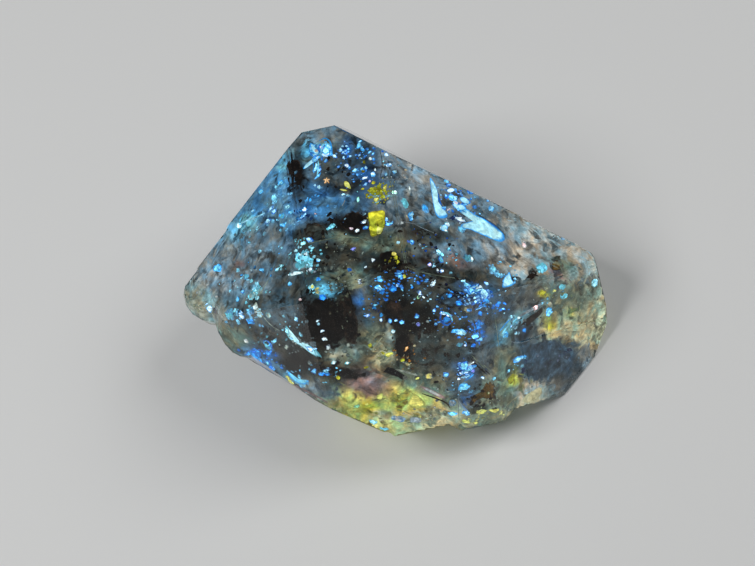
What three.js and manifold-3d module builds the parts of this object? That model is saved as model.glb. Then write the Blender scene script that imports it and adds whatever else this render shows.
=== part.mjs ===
// A petroleum quartz crystal: one stubby quartz crystal with a point at each end, lying on one of its side faces.
// Millimetres, +Z up. +X runs along the crystal's long axis, towards its right-hand point.
// The origin is on the resting face, under the middle of the crystal's bounding box.
import * as THREE from "three";
import { ConvexGeometry } from "three/addons/geometries/ConvexGeometry.js";
import { mergeVertices } from "three/addons/utils/BufferGeometryUtils.js";
import Module from "manifold-3d";

const wasm = await Module();
wasm.setup();

// Quartz grows at fixed angles. The six side faces are 60 degrees apart round the long axis.
// A point's six faces lean so that each one's normal is 51.79 degrees from the long axis.
const SIDE_STEP = THREE.MathUtils.degToRad(60);
const POINT_LEAN = THREE.MathUtils.degToRad(51.79);

// How far each face lies from the crystal's centre, in millimetres.
// Each list goes round the long axis: top, upper front, lower front, underneath, lower back, upper back.
const SIDE_FACES = [5.25, 5.45, 8.2, 5.55, 6.55, 7.4];
const RIGHT_POINT_FACES = [5.05, 6.75, 11.1, 10.1, 7.75, 5.2];
const LEFT_POINT_FACES = [6.1, 6.6, 7.15, 7.9, 7.6, 7.2];

// The worn end of the right-hand point: small contact faces, each a direction and a distance from the centre.
const RIGHT_END_FACES = [
  { facing: [0.66, 0.64, 0.36], distance: 6.0 },
  { facing: [0.92, 0.37, 0.15], distance: 8.9 },
  { facing: [0.985, 0.1, -0.02], distance: 10.25 },
  { facing: [0.99, -0.1, -0.1], distance: 11.05 },
  { facing: [0.84, -0.5, -0.25], distance: 12.0 },
];

// The left-hand point is broken off along two faces, and ends in two lobes: a knob, and a shoulder below it.
const BREAK_FACES = [
  { facing: [-0.94, -0.28, 0.1], distance: 8.3 },
  { facing: [-0.72, -0.66, -0.15], distance: 7.4 },
];

// A lobe's free end is worn round: its small faces touch a ball from outside. Turns, in degrees, go from leftwards
// to frontwards, and lifts go upwards. Towards the crystal's middle the lobe ends at x = -reach, inside the crystal.
const LOBES = [
  {
    centre: [-8.45, 1.0, -0.6],
    radius: 1.7,
    turns: [-15, 5, 25, 45, 65, 85, 105],
    lifts: [-50, -15, 20],
    sink: 0.07,
    reach: 6.5,
  },
  {
    centre: [-7.15, -1.7, -0.02],
    radius: 1.42,
    turns: [10, 30, 50, 70, 90],
    lifts: [-45, -10, 25],
    sink: 0.02,
    reach: 6.0,
  },
];

// Growth terraces: low plateaus. Each raises one face a little, and ends at borders that run parallel to
// neighbouring faces, a given distance inside them.
const TERRACES = [
  { on: "right1", rise: 0.05, inside: { right0: 2.12, side1: 1.5 } },
  { on: "right4", rise: 0.12, inside: { side4: 1.3, right5: 0.5 } },
  { on: "right5", rise: 0.07, inside: { right4: 1.5 } },
  { on: "right5", rise: 0.15, inside: { right4: 3.0 } },
  { on: "side2", rise: 0.42, inside: { left2: 1.7, right2: 1.6 } },
  { on: "side4", rise: 0.1, inside: { left4: 0.6, right4: 0.8, side5: 0.7 } },
  { on: "side4", rise: 0.18, inside: { left4: 1.1, right4: 1.5, side5: 1.1 } },
  { on: "side4", rise: 0.27, inside: { left4: 1.5, right4: 2.9, side5: 2.4, side3: 0.8 } },
  { on: "left2", rise: 0.12, inside: { side2: 1.4, left1: 1.2 } },
  { on: "left2", rise: 0.2, inside: { side2: 2.5, left1: 1.7, side1: 1.6 } },
  { on: "left4", rise: 0.12, inside: { left5: 1.1, side4: 1.0 } },
  { on: "left4", rise: 0.2, inside: { left5: 1.7, side4: 1.8, left3: 1.0 } },
  { on: "left5", rise: 0.1, inside: { left4: 2.0 } },
];

// Chips knocked out of the edges: shallow hollows, each cut by a ball stretched to its three half-widths.
const CHIPS = [
  { centre: [-1.55, -8.15, -3.05], halfWidths: [0.5, 0.75, 0.8] },
  { centre: [-0.2, 8.9, 1.4], halfWidths: [1.9, 1.3, 1.4] },
  { centre: [-8.1, 6.2, -0.4], halfWidths: [2.4, 2.2, 1.5] },
  { centre: [4.9, 6.6, -2.9], halfWidths: [1.8, 1.3, 1.3] },
  { centre: [10.6, -1.8, -6.6], halfWidths: [1.9, 2.2, 1.8] },
  { centre: [-10.0, -1.3, -4.0], halfWidths: [1.9, 1.7, 1.6] },
];
const CHIP_FINENESS = 6;

function sideNormal(place) {
  const turn = place * SIDE_STEP;
  return new THREE.Vector3(0, -Math.sin(turn), Math.cos(turn));
}

function pointNormal(place, end) {
  return sideNormal(place)
    .multiplyScalar(Math.sin(POINT_LEAN))
    .add(new THREE.Vector3(end * Math.cos(POINT_LEAN), 0, 0));
}

function growthFaces() {
  const faces = {};
  for (let place = 0; place < 6; place++) {
    faces[`side${place}`] = new THREE.Plane(sideNormal(place), -SIDE_FACES[place]);
    faces[`right${place}`] = new THREE.Plane(pointNormal(place, 1), -RIGHT_POINT_FACES[place]);
    faces[`left${place}`] = new THREE.Plane(pointNormal(place, -1), -LEFT_POINT_FACES[place]);
  }
  return faces;
}

function looseFaces(list) {
  return list.map(({ facing, distance }) => new THREE.Plane(new THREE.Vector3(...facing).normalize(), -distance));
}

// A closed geometry as a solid that can be joined and cut.
function solidFrom(geometry) {
  const bare = geometry.clone();
  bare.deleteAttribute("normal");
  bare.deleteAttribute("uv");
  const merged = mergeVertices(bare, 1e-4);
  return new wasm.Manifold(
    new wasm.Mesh({
      numProp: 3,
      vertProperties: new Float32Array(merged.attributes.position.array),
      triVerts: new Uint32Array(merged.index.array),
    }),
  );
}

// The body that a set of flat faces encloses: its corners are where three faces meet inside all the others.
function enclosedBy(planes) {
  const corners = [];
  const system = new THREE.Matrix3();
  for (let a = 0; a < planes.length; a++) {
    for (let b = a + 1; b < planes.length; b++) {
      for (let c = b + 1; c < planes.length; c++) {
        const three = [planes[a], planes[b], planes[c]];
        system.set(...three.flatMap((plane) => plane.normal.toArray()));
        if (Math.abs(system.determinant()) < 1e-5) continue;
        const corner = new THREE.Vector3(...three.map((plane) => -plane.constant));
        corner.applyMatrix3(system.clone().invert());
        const inside = planes.every((plane) => plane.distanceToPoint(corner) < 1e-5);
        const known = corners.some((other) => other.distanceTo(corner) < 1e-4);
        if (inside && !known) corners.push(corner);
      }
    }
  }
  return solidFrom(new ConvexGeometry(corners));
}

function withWornEnds(faces) {
  return enclosedBy([...Object.values(faces), ...looseFaces(RIGHT_END_FACES), ...looseFaces(BREAK_FACES)]);
}

function terrace({ on, rise, inside }) {
  const faces = growthFaces();
  for (const [neighbour, inset] of Object.entries(inside)) faces[neighbour].constant += inset;
  faces[on].constant -= rise;
  return withWornEnds(faces);
}

function lobe({ centre, radius, turns, lifts, sink, reach }) {
  const planes = Object.values(growthFaces());
  for (const plane of planes) plane.constant += sink;
  planes.push(new THREE.Plane(new THREE.Vector3(1, 0, 0), reach));
  for (const turn of turns.map(THREE.MathUtils.degToRad)) {
    for (const lift of lifts.map(THREE.MathUtils.degToRad)) {
      const facing = new THREE.Vector3(
        -Math.cos(turn) * Math.cos(lift),
        -Math.sin(turn) * Math.cos(lift),
        Math.sin(lift),
      );
      planes.push(new THREE.Plane(facing, -facing.dot(new THREE.Vector3(...centre)) - radius));
    }
  }
  return enclosedBy(planes);
}

function chip({ centre, halfWidths }) {
  const ball = new THREE.IcosahedronGeometry(1, CHIP_FINENESS);
  ball.scale(...halfWidths);
  ball.translate(...centre);
  return solidFrom(ball);
}

function crystalSolid() {
  let crystal = withWornEnds(growthFaces());
  for (const wornLobe of LOBES) crystal = crystal.add(lobe(wornLobe));
  for (const plateau of TERRACES) crystal = crystal.add(terrace(plateau));
  for (const hollow of CHIPS) crystal = crystal.subtract(chip(hollow));
  return crystal;
}

function geometryFrom(solid) {
  const { numProp, vertProperties, triVerts } = solid.getMesh();
  const positions = new Float32Array((vertProperties.length / numProp) * 3);
  for (let i = 0; i < positions.length / 3; i++) {
    positions.set(vertProperties.subarray(i * numProp, i * numProp + 3), i * 3);
  }
  const geometry = new THREE.BufferGeometry();
  geometry.setAttribute("position", new THREE.BufferAttribute(positions, 3));
  geometry.setIndex(new THREE.BufferAttribute(new Uint32Array(triVerts), 1));
  return geometry;
}

const smokyQuartz = new THREE.MeshStandardMaterial({ color: 0x8f8578, roughness: 0.08, metalness: 0 });
const crystal = new THREE.Mesh(geometryFrom(crystalSolid()), smokyQuartz);
crystal.name = "quartz_crystal";

crystal.geometry.computeBoundingBox();
const { min, max } = crystal.geometry.boundingBox;
crystal.position.set(-(min.x + max.x) / 2, -(min.y + max.y) / 2, -min.z);

const petroleumQuartz = new THREE.Group();
petroleumQuartz.add(crystal);
export default petroleumQuartz;
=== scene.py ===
import math
import random

import bmesh
import bpy
import numpy as np
from mathutils import Matrix, Vector, noise
from mathutils.bvhtree import BVHTree


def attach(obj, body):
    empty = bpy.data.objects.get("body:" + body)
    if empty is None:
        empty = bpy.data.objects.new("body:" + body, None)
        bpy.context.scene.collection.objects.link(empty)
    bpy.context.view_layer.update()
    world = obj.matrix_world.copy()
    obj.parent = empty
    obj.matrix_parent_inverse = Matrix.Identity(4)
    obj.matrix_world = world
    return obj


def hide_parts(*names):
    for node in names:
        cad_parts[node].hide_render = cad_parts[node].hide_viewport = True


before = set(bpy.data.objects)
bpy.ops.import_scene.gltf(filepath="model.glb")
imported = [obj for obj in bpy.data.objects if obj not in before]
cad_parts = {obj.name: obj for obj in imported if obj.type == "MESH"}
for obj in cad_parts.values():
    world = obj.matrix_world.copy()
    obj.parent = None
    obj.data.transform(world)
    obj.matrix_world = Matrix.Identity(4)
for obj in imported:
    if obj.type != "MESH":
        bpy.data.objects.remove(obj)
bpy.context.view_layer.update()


# The photograph's view. The camera looks down on the crystal's top face, turned a little towards its front
# faces, and is rolled so that the crystal's long axis climbs to the right.
MM = 0.001
PHOTO_SIZE = (755, 566)
PHOTO_PIXEL = 20 / 424 * MM
CAMERA_DISTANCE = 110 * MM
CAMERA_SIDE = Vector((0.0698, -0.4606, 0.8849)).normalized()
CAMERA_UP = Vector((0.2074, 0.8743, 0.4388))
LOOKED_AT = Vector((-0.122, -3.465, 10.8)) * MM
SENSOR_WIDTH = 36

right = CAMERA_UP.cross(CAMERA_SIDE).normalized()
up = CAMERA_SIDE.cross(right)
eye = LOOKED_AT + CAMERA_SIDE * CAMERA_DISTANCE
camera_data = bpy.data.cameras.new("photo_camera")
camera_data.sensor_width = SENSOR_WIDTH
camera_data.lens = SENSOR_WIDTH * CAMERA_DISTANCE / (PHOTO_SIZE[0] * PHOTO_PIXEL)
camera_data.clip_start = 1 * MM
camera = bpy.data.objects.new("photo_camera", camera_data)
camera_turn = Matrix((right, up, CAMERA_SIDE)).transposed()
camera.matrix_world = Matrix.Translation(eye) @ camera_turn.to_4x4()
bpy.context.scene.collection.objects.link(camera)
bpy.context.scene.camera = camera


# The quartz itself: one grown crystal, smoky grey and see-through, with bright growth faces.
# The tint is in the stone, so thick places are darker than the rim.
QUARTZ_IOR = 1.544
SMOKE_TINT = (0.42, 0.45, 0.44, 1)
SMOKE_DENSITY = 90
SAME_CORNER = 0.002 * MM
SAME_PLANE = math.radians(0.5)


def quartz_material():
    material = bpy.data.materials.new("smoky_quartz")
    material.use_nodes = True
    tree = material.node_tree
    shader = tree.nodes["Principled BSDF"]
    shader.inputs["Base Color"].default_value = (1, 1, 1, 1)
    shader.inputs["Transmission Weight"].default_value = 1
    shader.inputs["IOR"].default_value = QUARTZ_IOR
    shader.inputs["Roughness"].default_value = 0.02
    tint = tree.nodes.new("ShaderNodeVolumeAbsorption")
    tint.inputs["Color"].default_value = SMOKE_TINT
    tint.inputs["Density"].default_value = SMOKE_DENSITY
    tree.links.new(tint.outputs["Volume"], tree.nodes["Material Output"].inputs["Volume"])
    return material


def add_piece(name, mesh, material):
    piece = bpy.data.objects.new(name, mesh)
    mesh.materials.clear()
    mesh.materials.append(material)
    bpy.context.scene.collection.objects.link(piece)
    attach(piece, "root")
    return piece


cad_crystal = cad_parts["quartz_crystal"]
shape = bmesh.new()
shape.from_mesh(cad_crystal.data)
bmesh.ops.remove_doubles(shape, verts=shape.verts, dist=SAME_CORNER)
bmesh.ops.dissolve_limit(shape, angle_limit=SAME_PLANE, verts=shape.verts, edges=shape.edges)
bmesh.ops.triangulate(shape, faces=shape.faces)
body_mesh = bpy.data.meshes.new("quartz_body")
shape.to_mesh(body_mesh)
shape.free()
quartz_body = add_piece("quartz_body", body_mesh, quartz_material())
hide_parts("quartz_crystal")


# Healed fractures: curved sheets inside the quartz, where old cracks grew shut and caught mist-fine drops of
# fluid. They make the stone cloudy, and their haze changes its tint from place to place. The haze glows by
# emission, painted light that stands in for the lamps' light it would catch, so its tints hold both the
# haze's own colour and painted brightness. One layer of sheets lies close under the faces in front, one
# deeper, and one under the faces at the back and underneath.
def linear(red, green, blue):
    """A tint for a shader, from its values between 0 and 255 on a screen."""

    def channel(value):
        value /= 255
        return value / 12.92 if value <= 0.04045 else ((value + 0.055) / 1.055) ** 2.4

    return Vector((channel(red), channel(green), channel(blue)))


PALE_TEAL = linear(132, 148, 140)
PALE_STEEL = linear(122, 137, 145)
STEEL = linear(98, 115, 124)
SLATE = linear(66, 79, 84)
SMOKE = linear(52, 58, 55)
TAR_BROWN = linear(14, 13, 10)
BLUE_HAZE = linear(72, 118, 152)
OLIVE_GREY = linear(98, 110, 94)
CREAM = linear(160, 162, 130)
YELLOW_GLOW = linear(170, 178, 92)
ROSE = linear(122, 106, 106)
PEARL = linear(152, 160, 157)
NAVY = linear(46, 66, 80)
UMBER = linear(34, 26, 20)
OCHRE = linear(92, 72, 34)
PITCH = linear(12, 9, 7)
DEEP_BLUE = linear(38, 92, 150)
SOFT_CYAN = linear(100, 182, 210)
LIME = linear(176, 186, 60)

# Haze patches. Each is a place in the photograph, a half-width and a half-height in mm, a lean in degrees, a
# tint and a weight.
HAZE_PATCHES = [
    # left-hand point, upper face
    ((278, 176), 0.61, 1.13, -30, BLUE_HAZE, 1.0),
    ((258, 216), 1.13, 0.75, 35, BLUE_HAZE, 0.8),
    ((287, 222), 0.57, 1.04, 0, BLUE_HAZE, 0.6),
    ((255, 250), 1.60, 0.80, 40, STEEL, 1.0),
    ((218, 280), 1.13, 0.75, 50, PALE_STEEL, 1.0),
    ((198, 304), 0.85, 0.75, 0, PALE_TEAL, 1.3),
    ((258, 280), 0.94, 0.57, 20, STEEL, 0.8),
    ((285, 270), 0.66, 0.85, 0, SLATE, 0.8),
    # side face on top
    ((318, 136), 1.04, 0.42, 15, STEEL, 1.0),
    ((300, 178), 0.28, 1.32, 0, TAR_BROWN, 1.6),
    ((330, 158), 0.94, 0.85, 0, SLATE, 1.0),
    ((322, 202), 1.13, 0.61, 0, BLUE_HAZE, 1.0),
    ((360, 160), 1.13, 0.94, 0, NAVY, 1.0),
    ((342, 186), 0.85, 0.42, 0, SMOKE, 0.8),
    ((306, 236), 0.57, 0.42, 0, SMOKE, 1.2),
    ((343, 226), 1.23, 0.33, -10, TAR_BROWN, 0.9),
    ((350, 240), 1.23, 0.28, -14, OLIVE_GREY, 0.7),
    ((392, 244), 0.66, 0.42, 0, OLIVE_GREY, 0.7),
    ((330, 262), 1.23, 0.47, 0, SMOKE, 1.0),
    ((386, 264), 0.80, 0.52, 0, TAR_BROWN, 1.2),
    ((352, 278), 0.94, 0.42, 0, OLIVE_GREY, 0.7),
    # right-hand point, upper face
    ((405, 170), 1.32, 0.57, -28, PALE_STEEL, 1.2),
    ((398, 198), 0.47, 1.13, 0, STEEL, 0.8),
    ((428, 208), 0.94, 0.85, 0, STEEL, 0.8),
    ((480, 200), 1.60, 0.47, -28, STEEL, 1.0),
    ((425, 236), 1.23, 0.47, -8, SMOKE, 1.2),
    ((455, 250), 1.32, 0.61, 0, STEEL, 0.8),
    ((500, 248), 1.04, 0.47, 0, PALE_STEEL, 1.0),
    ((538, 232), 1.51, 0.71, -28, PEARL, 1.3),
    ((576, 250), 0.66, 0.47, -28, PEARL, 1.0),
    ((470, 276), 1.23, 0.42, -8, SMOKE, 1.0),
    ((522, 266), 0.94, 0.42, 0, PEARL, 0.7),
    ((430, 276), 1.04, 0.42, 0, SMOKE, 1.0),
    ((560, 264), 0.66, 0.33, 0, OLIVE_GREY, 0.9),
    # right-hand point, front face
    ((498, 302), 0.85, 0.52, 0, NAVY, 1.0),
    ((530, 298), 0.94, 0.61, 15, SLATE, 1.0),
    ((572, 300), 0.85, 0.85, 0, OLIVE_GREY, 1.2),
    ((593, 330), 0.61, 1.04, 0, CREAM, 1.2),
    ((566, 330), 1.04, 0.38, 0, CREAM, 1.2),
    ((548, 363), 1.42, 0.99, 0, NAVY, 1.7),
    ((588, 358), 0.42, 0.66, 0, STEEL, 1.0),
    ((530, 393), 0.80, 0.38, 18, PEARL, 1.6),
    ((506, 370), 0.47, 0.94, 0, OLIVE_GREY, 1.0),
    ((506, 402), 0.57, 0.57, 0, OLIVE_GREY, 1.0),
    ((522, 334), 0.75, 0.42, 25, NAVY, 1.0),
    # side face in front
    ((322, 326), 1.04, 1.42, 12, TAR_BROWN, 2.2),
    ((346, 312), 0.42, 1.42, 8, TAR_BROWN, 1.6),
    ((368, 302), 0.47, 1.13, 0, SLATE, 1.2),
    ((370, 338), 0.57, 0.57, 0, OLIVE_GREY, 0.9),
    ((400, 318), 0.85, 0.94, 0, TAR_BROWN, 1.5),
    ((402, 350), 0.57, 0.66, 0, TAR_BROWN, 1.8),
    ((382, 352), 0.42, 0.52, 0, CREAM, 0.8),
    ((345, 354), 0.71, 0.38, 0, OLIVE_GREY, 1.2),
    ((304, 360), 1.32, 0.33, -32, TAR_BROWN, 1.8),
    ((347, 374), 1.04, 0.28, -12, TAR_BROWN, 1.8),
    ((366, 384), 0.80, 0.42, -10, ROSE, 1.8),
    ((352, 404), 1.04, 0.42, -25, YELLOW_GLOW, 1.0),
    ((404, 404), 1.23, 0.61, 0, YELLOW_GLOW, 1.5),
    ((436, 416), 1.23, 0.47, 8, CREAM, 1.3),
    ((428, 352), 0.85, 1.04, 0, SMOKE, 1.0),
    ((450, 326), 0.85, 1.04, 0, SMOKE, 1.2),
    ((424, 386), 1.13, 0.42, -20, OLIVE_GREY, 1.1),
    ((460, 386), 0.85, 0.75, 0, SLATE, 1.0),
    ((487, 392), 0.47, 0.85, 0, OLIVE_GREY, 1.0),
    ((482, 350), 0.66, 1.23, 0, SLATE, 1.0),
    ((482, 416), 1.13, 0.33, 12, OLIVE_GREY, 1.2),
    ((330, 394), 0.85, 0.38, -25, SLATE, 1.2),
    # left-hand point, front face
    ((234, 336), 0.71, 0.52, 0, OLIVE_GREY, 1.1),
    ((252, 312), 1.04, 0.57, 0, SLATE, 0.9),
    ((284, 312), 0.66, 0.85, 0, SLATE, 1.0),
    ((272, 346), 0.94, 0.47, -20, SMOKE, 1.2),
    ((292, 366), 0.85, 0.33, -32, TAR_BROWN, 1.0),
    ((262, 362), 0.57, 0.28, -35, BLUE_HAZE, 1.0),
    ((304, 386), 0.94, 0.38, -30, STEEL, 1.0),
    # soft glows of petroleum that lies deeper
    ((318, 149), 0.50, 0.32, 20, SOFT_CYAN, 1.2),
    ((281, 168), 0.22, 0.45, -10, SOFT_CYAN, 2.0),
    ((250, 223), 0.60, 0.28, 35, SOFT_CYAN, 3.0),
    ((345, 152), 0.35, 0.40, 0, DEEP_BLUE, 1.5),
    ((362, 172), 0.50, 0.45, 0, DEEP_BLUE, 1.5),
    ((322, 198), 0.70, 0.30, 10, DEEP_BLUE, 1.2),
    ((303, 208), 0.35, 0.25, 30, DEEP_BLUE, 1.5),
    ((476, 291), 0.40, 0.20, -35, DEEP_BLUE, 3.0),
    ((511, 328), 0.50, 0.16, 42, SOFT_CYAN, 3.5),
    ((478, 334), 0.16, 0.35, 0, DEEP_BLUE, 3.5),
    ((467, 371), 0.30, 0.22, 0, DEEP_BLUE, 3.5),
    ((467, 398), 0.22, 0.30, 0, DEEP_BLUE, 2.0),
    ((362, 298), 0.20, 0.32, 0, DEEP_BLUE, 3.5),
    ((324, 289), 0.26, 0.22, 0, SOFT_CYAN, 3.0),
    ((268, 352), 0.40, 0.22, -30, DEEP_BLUE, 1.5),
    ((298, 380), 0.42, 0.12, -33, SOFT_CYAN, 3.5),
    ((255, 290), 0.12, 0.30, -20, SOFT_CYAN, 1.5),
    ((336, 352), 0.26, 0.28, 0, PALE_TEAL, 3.0),
    ((352, 351), 0.26, 0.28, 0, PALE_TEAL, 3.0),
    ((388, 336), 0.20, 0.45, 0, PALE_TEAL, 2.0),
    # soft glows of yellow petroleum, and pale and rosy cracks between them
    ((398, 400), 0.32, 0.24, 0, LIME, 4.0),
    ((367, 408), 0.36, 0.26, 0, LIME, 3.0),
    ((418, 401), 0.40, 0.26, 0, YELLOW_GLOW, 3.0),
    ((383, 414), 0.50, 0.18, 0, CREAM, 2.0),
    ((412, 416), 0.50, 0.18, 0, CREAM, 2.0),
    ((368, 382), 0.40, 0.26, -10, ROSE, 4.0),
    ((511, 379), 0.22, 0.34, 0, LIME, 6.0),
    ((551, 325), 0.18, 0.18, 0, LIME, 3.0),
    ((542, 294), 0.18, 0.18, 0, LIME, 2.5),
    ((571, 309), 0.24, 0.30, 0, YELLOW_GLOW, 2.0),
    ((573, 335), 0.30, 0.14, 0, CREAM, 3.0),
    ((531, 396), 0.45, 0.28, 35, CREAM, 5.0),
    # brown tar stains, and rosy and pearly cracks between them
    ((430, 330), 0.80, 0.60, 0, TAR_BROWN, 0.8),
    ((552, 362), 0.80, 0.55, -20, TAR_BROWN, 0.5),
    ((250, 336), 0.80, 0.30, -30, SMOKE, 0.8),
    ((313, 330), 0.14, 0.90, 5, UMBER, 2.0),
    ((330, 322), 0.12, 0.90, 8, OCHRE, 0.8),
    ((343, 316), 0.10, 0.80, 8, UMBER, 3.0),
    ((425, 262), 0.60, 0.20, -20, UMBER, 1.0),
    ((455, 258), 0.60, 0.25, -20, ROSE, 0.7),
    ((240, 262), 0.50, 0.20, 40, ROSE, 0.8),
    ((555, 272), 0.50, 0.16, -20, ROSE, 1.5),
    ((520, 250), 0.60, 0.25, -25, PEARL, 1.5),
]

# The sheets' grid, and the tears in the patches' borders, each (size, push), all in photograph pixels.
HAZE_STEP = 2
HAZE_COLUMNS = range(180, 614, HAZE_STEP)
HAZE_ROWS = range(122, 440, HAZE_STEP)
TEARS = ((22, 7.0), (8, 3.2), (3.5, 1.6))
TEAR_SEED = 7
noise.seed_set(TEAR_SEED)

body_tree = BVHTree.FromPolygons([v.co for v in body_mesh.vertices], [p.vertices for p in body_mesh.polygons])


def sight_at(seen_at):
    """The direction in which the camera sees that place of the photograph."""
    across = (seen_at[0] - PHOTO_SIZE[0] / 2) * PHOTO_PIXEL
    along = (PHOTO_SIZE[1] / 2 - seen_at[1]) * PHOTO_PIXEL
    return (right * across + up * along - CAMERA_SIDE * CAMERA_DISTANCE).normalized()


def face_at(seen_at, behind=False):
    """A point on the quartz's face at a place of the photograph, or on the one behind it, and its normal."""
    sight = sight_at(seen_at)
    start, way = (eye + sight * 2 * CAMERA_DISTANCE, -sight) if behind else (eye, sight)
    point, normal, _, _ = body_tree.ray_cast(start, way)
    return None if point is None else (point, normal)


def below(seen_at, face, depth):
    """The point that deep under a face that the camera sees, through the bend of its view, at that place."""
    sight = sight_at(seen_at)
    point, normal = face
    slant = -sight.dot(normal)
    entry = eye + sight * ((point - eye).dot(normal) / sight.dot(normal))
    bend = slant / QUARTZ_IOR - math.sqrt(1 - (1 - slant**2) / QUARTZ_IOR**2)
    bent = sight / QUARTZ_IOR + normal * bend
    return entry + bent * (depth / -bent.dot(normal))


def under_skin(point):
    """How far inside the quartz a point lies, less than nothing for one outside it."""
    upwards = Vector((0, 0, 1))
    _, way_out, _, _ = body_tree.ray_cast(point, upwards)
    distance = body_tree.find_nearest(point)[3]
    return distance if way_out is not None and way_out.dot(upwards) > 0 else -distance


SKIN = 0.06 * MM
GRAZING = 0.04
DEPTH_SHARES = (1, 0.6, 0.35, 0.2, 0.1)


def inside(seen_at, depth, face=None):
    """Like below, on the face at that place, but no deeper than the quartz allows there."""
    face = face or face_at(seen_at)
    if face is None or -sight_at(seen_at).dot(face[1]) < GRAZING:
        return None
    for share in DEPTH_SHARES:
        point = below(seen_at, face, depth * share)
        if under_skin(point) > min(SKIN, depth * share * 0.5):
            return point
    return None


def smooth(low, high, value):
    """A soft step from 0 at low to 1 at high."""
    share = np.clip((value - low) / (high - low), 0, 1)
    return share * share * (3 - 2 * share)


NOISE_FALLOFF, NOISE_STEP = 0.8, 2.0
SWELL_SIZE = 16
SWELL_STRENGTH = 0.5
PATCH_CORE = 0.02


def haze_tints(places, seed):
    """The tint of the haze at places of the photograph, with the patches' borders torn by noise."""
    torn = []
    for x, y in places:
        for size, push in TEARS:
            shift = noise.noise_vector(Vector((x / size, y / size, seed)))
            x, y = x + shift[0] * push, y + shift[1] * push
        torn.append((x, y))
    torn = np.array(torn)
    total = np.zeros((len(places), 3))
    weights = np.full((len(places), 1), 1e-4)
    for (cx, cy), half_width, half_height, lean, tint, weight in HAZE_PATCHES:
        cosine, sine = math.cos(math.radians(lean)), math.sin(math.radians(lean))
        away = (torn - (cx, cy)) * PHOTO_PIXEL / MM
        across = (away[:, 0] * cosine - away[:, 1] * sine) / half_width
        along = (away[:, 0] * sine + away[:, 1] * cosine) / half_height
        pull = (weight / (PATCH_CORE + (across**2 + along**2) ** 2))[:, None]
        total += np.array(tint) * pull
        weights += pull
    swell_places = [Vector((x / SWELL_SIZE, y / SWELL_SIZE, seed + 4)) for x, y in places]
    swell = [noise.fractal(place, NOISE_FALLOFF, NOISE_STEP, 3) for place in swell_places]
    return total / weights * (1 + SWELL_STRENGTH * np.clip(swell, -1, 1))[:, None]


def cloudiness_group():
    """Mist as it is seen in quartz: mottled, drifting from rosy to teal, with pale wisps and dark rifts."""
    group = bpy.data.node_groups.new("cloudiness", "ShaderNodeTree")
    for name, kind, value in (
        ("Tint", "NodeSocketColor", (1, 1, 1, 1)),
        ("Grain", "NodeSocketFloat", 4200),
        ("Contrast", "NodeSocketFloat", 0.7),
        ("Drift", "NodeSocketFloat", 0.5),
        ("Wisps", "NodeSocketFloat", 0.5),
        ("Rifts", "NodeSocketFloat", 0),
    ):
        socket = group.interface.new_socket(name, in_out="INPUT", socket_type=kind)
        socket.default_value = value
    group.interface.new_socket("Color", in_out="OUTPUT", socket_type="NodeSocketColor")
    nodes, links = group.nodes, group.links
    given = nodes.new("NodeGroupInput")
    result = nodes.new("NodeGroupOutput")
    place = nodes.new("ShaderNodeTexCoord")

    def maths(operation, *values):
        node = nodes.new("ShaderNodeMath")
        node.operation = operation
        for socket, value in zip(node.inputs, values):
            if isinstance(value, (int, float)):
                socket.default_value = value
            else:
                links.new(value, socket)
        return node.outputs["Value"]

    def grain(share, detail, distortion, offset):
        moved = nodes.new("ShaderNodeVectorMath")
        moved.operation = "ADD"
        moved.inputs[1].default_value = (offset, offset, offset)
        links.new(place.outputs["Object"], moved.inputs[0])
        node = nodes.new("ShaderNodeTexNoise")
        node.inputs["Detail"].default_value = detail
        node.inputs["Roughness"].default_value = 0.62
        node.inputs["Distortion"].default_value = distortion
        links.new(moved.outputs["Vector"], node.inputs["Vector"])
        links.new(maths("MULTIPLY", given.outputs["Grain"], share), node.inputs["Scale"])
        return node.outputs["Fac"]

    def spread(value, low, high):
        node = nodes.new("ShaderNodeMapRange")
        node.inputs["From Min"].default_value = low
        node.inputs["From Max"].default_value = high
        node.inputs["To Min"].default_value = -1
        links.new(value, node.inputs["Value"])
        return node.outputs["Result"]

    def veins(noise_value, sharpness):
        """Lines of 1 along the middle values of a noise, and 0 away from them."""
        away = maths("ABSOLUTE", maths("SUBTRACT", noise_value, 0.5))
        return maths("SUBTRACT", 1.0, maths("MINIMUM", maths("MULTIPLY", away, sharpness), 1.0))

    fine = spread(grain(1.0, 2, 0.7, 0.0), 0.3, 0.7)
    coarse = spread(grain(0.42, 3, 0.8, 0.031), 0.32, 0.68)
    level = maths("ADD", maths("MULTIPLY", fine, 0.4), maths("MULTIPLY", coarse, 0.7))
    shade = maths("POWER", 2.0, maths("MULTIPLY", level, maths("MULTIPLY", given.outputs["Contrast"], 1.8)))
    wisp = veins(grain(0.22, 2, 1.2, 0.077), 45.0)
    shade = maths("ADD", shade, maths("MULTIPLY", wisp, given.outputs["Wisps"]))
    rift = veins(grain(0.16, 4, 1.6, 0.211), 22.0)
    shade = maths("MULTIPLY", shade, maths("SUBTRACT", 1.0, maths("MULTIPLY", rift, given.outputs["Rifts"])))
    hue = maths("MULTIPLY", spread(grain(0.3, 2, 0.5, 0.113), 0.36, 0.64), given.outputs["Drift"])
    warmth = nodes.new("ShaderNodeCombineXYZ")
    for axis, pull in (("X", 0.36), ("Y", -0.03), ("Z", -0.3)):
        links.new(maths("ADD", 1.0, maths("MULTIPLY", hue, pull)), warmth.inputs[axis])
    shaded = nodes.new("ShaderNodeVectorMath")
    shaded.operation = "SCALE"
    links.new(given.outputs["Tint"], shaded.inputs[0])
    links.new(shade, shaded.inputs["Scale"])
    tinted = nodes.new("ShaderNodeVectorMath")
    tinted.operation = "MULTIPLY"
    links.new(shaded.outputs["Vector"], tinted.inputs[0])
    links.new(warmth.outputs["Vector"], tinted.inputs[1])
    links.new(tinted.outputs["Vector"], result.inputs["Color"])
    return group


cloudiness = cloudiness_group()


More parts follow.
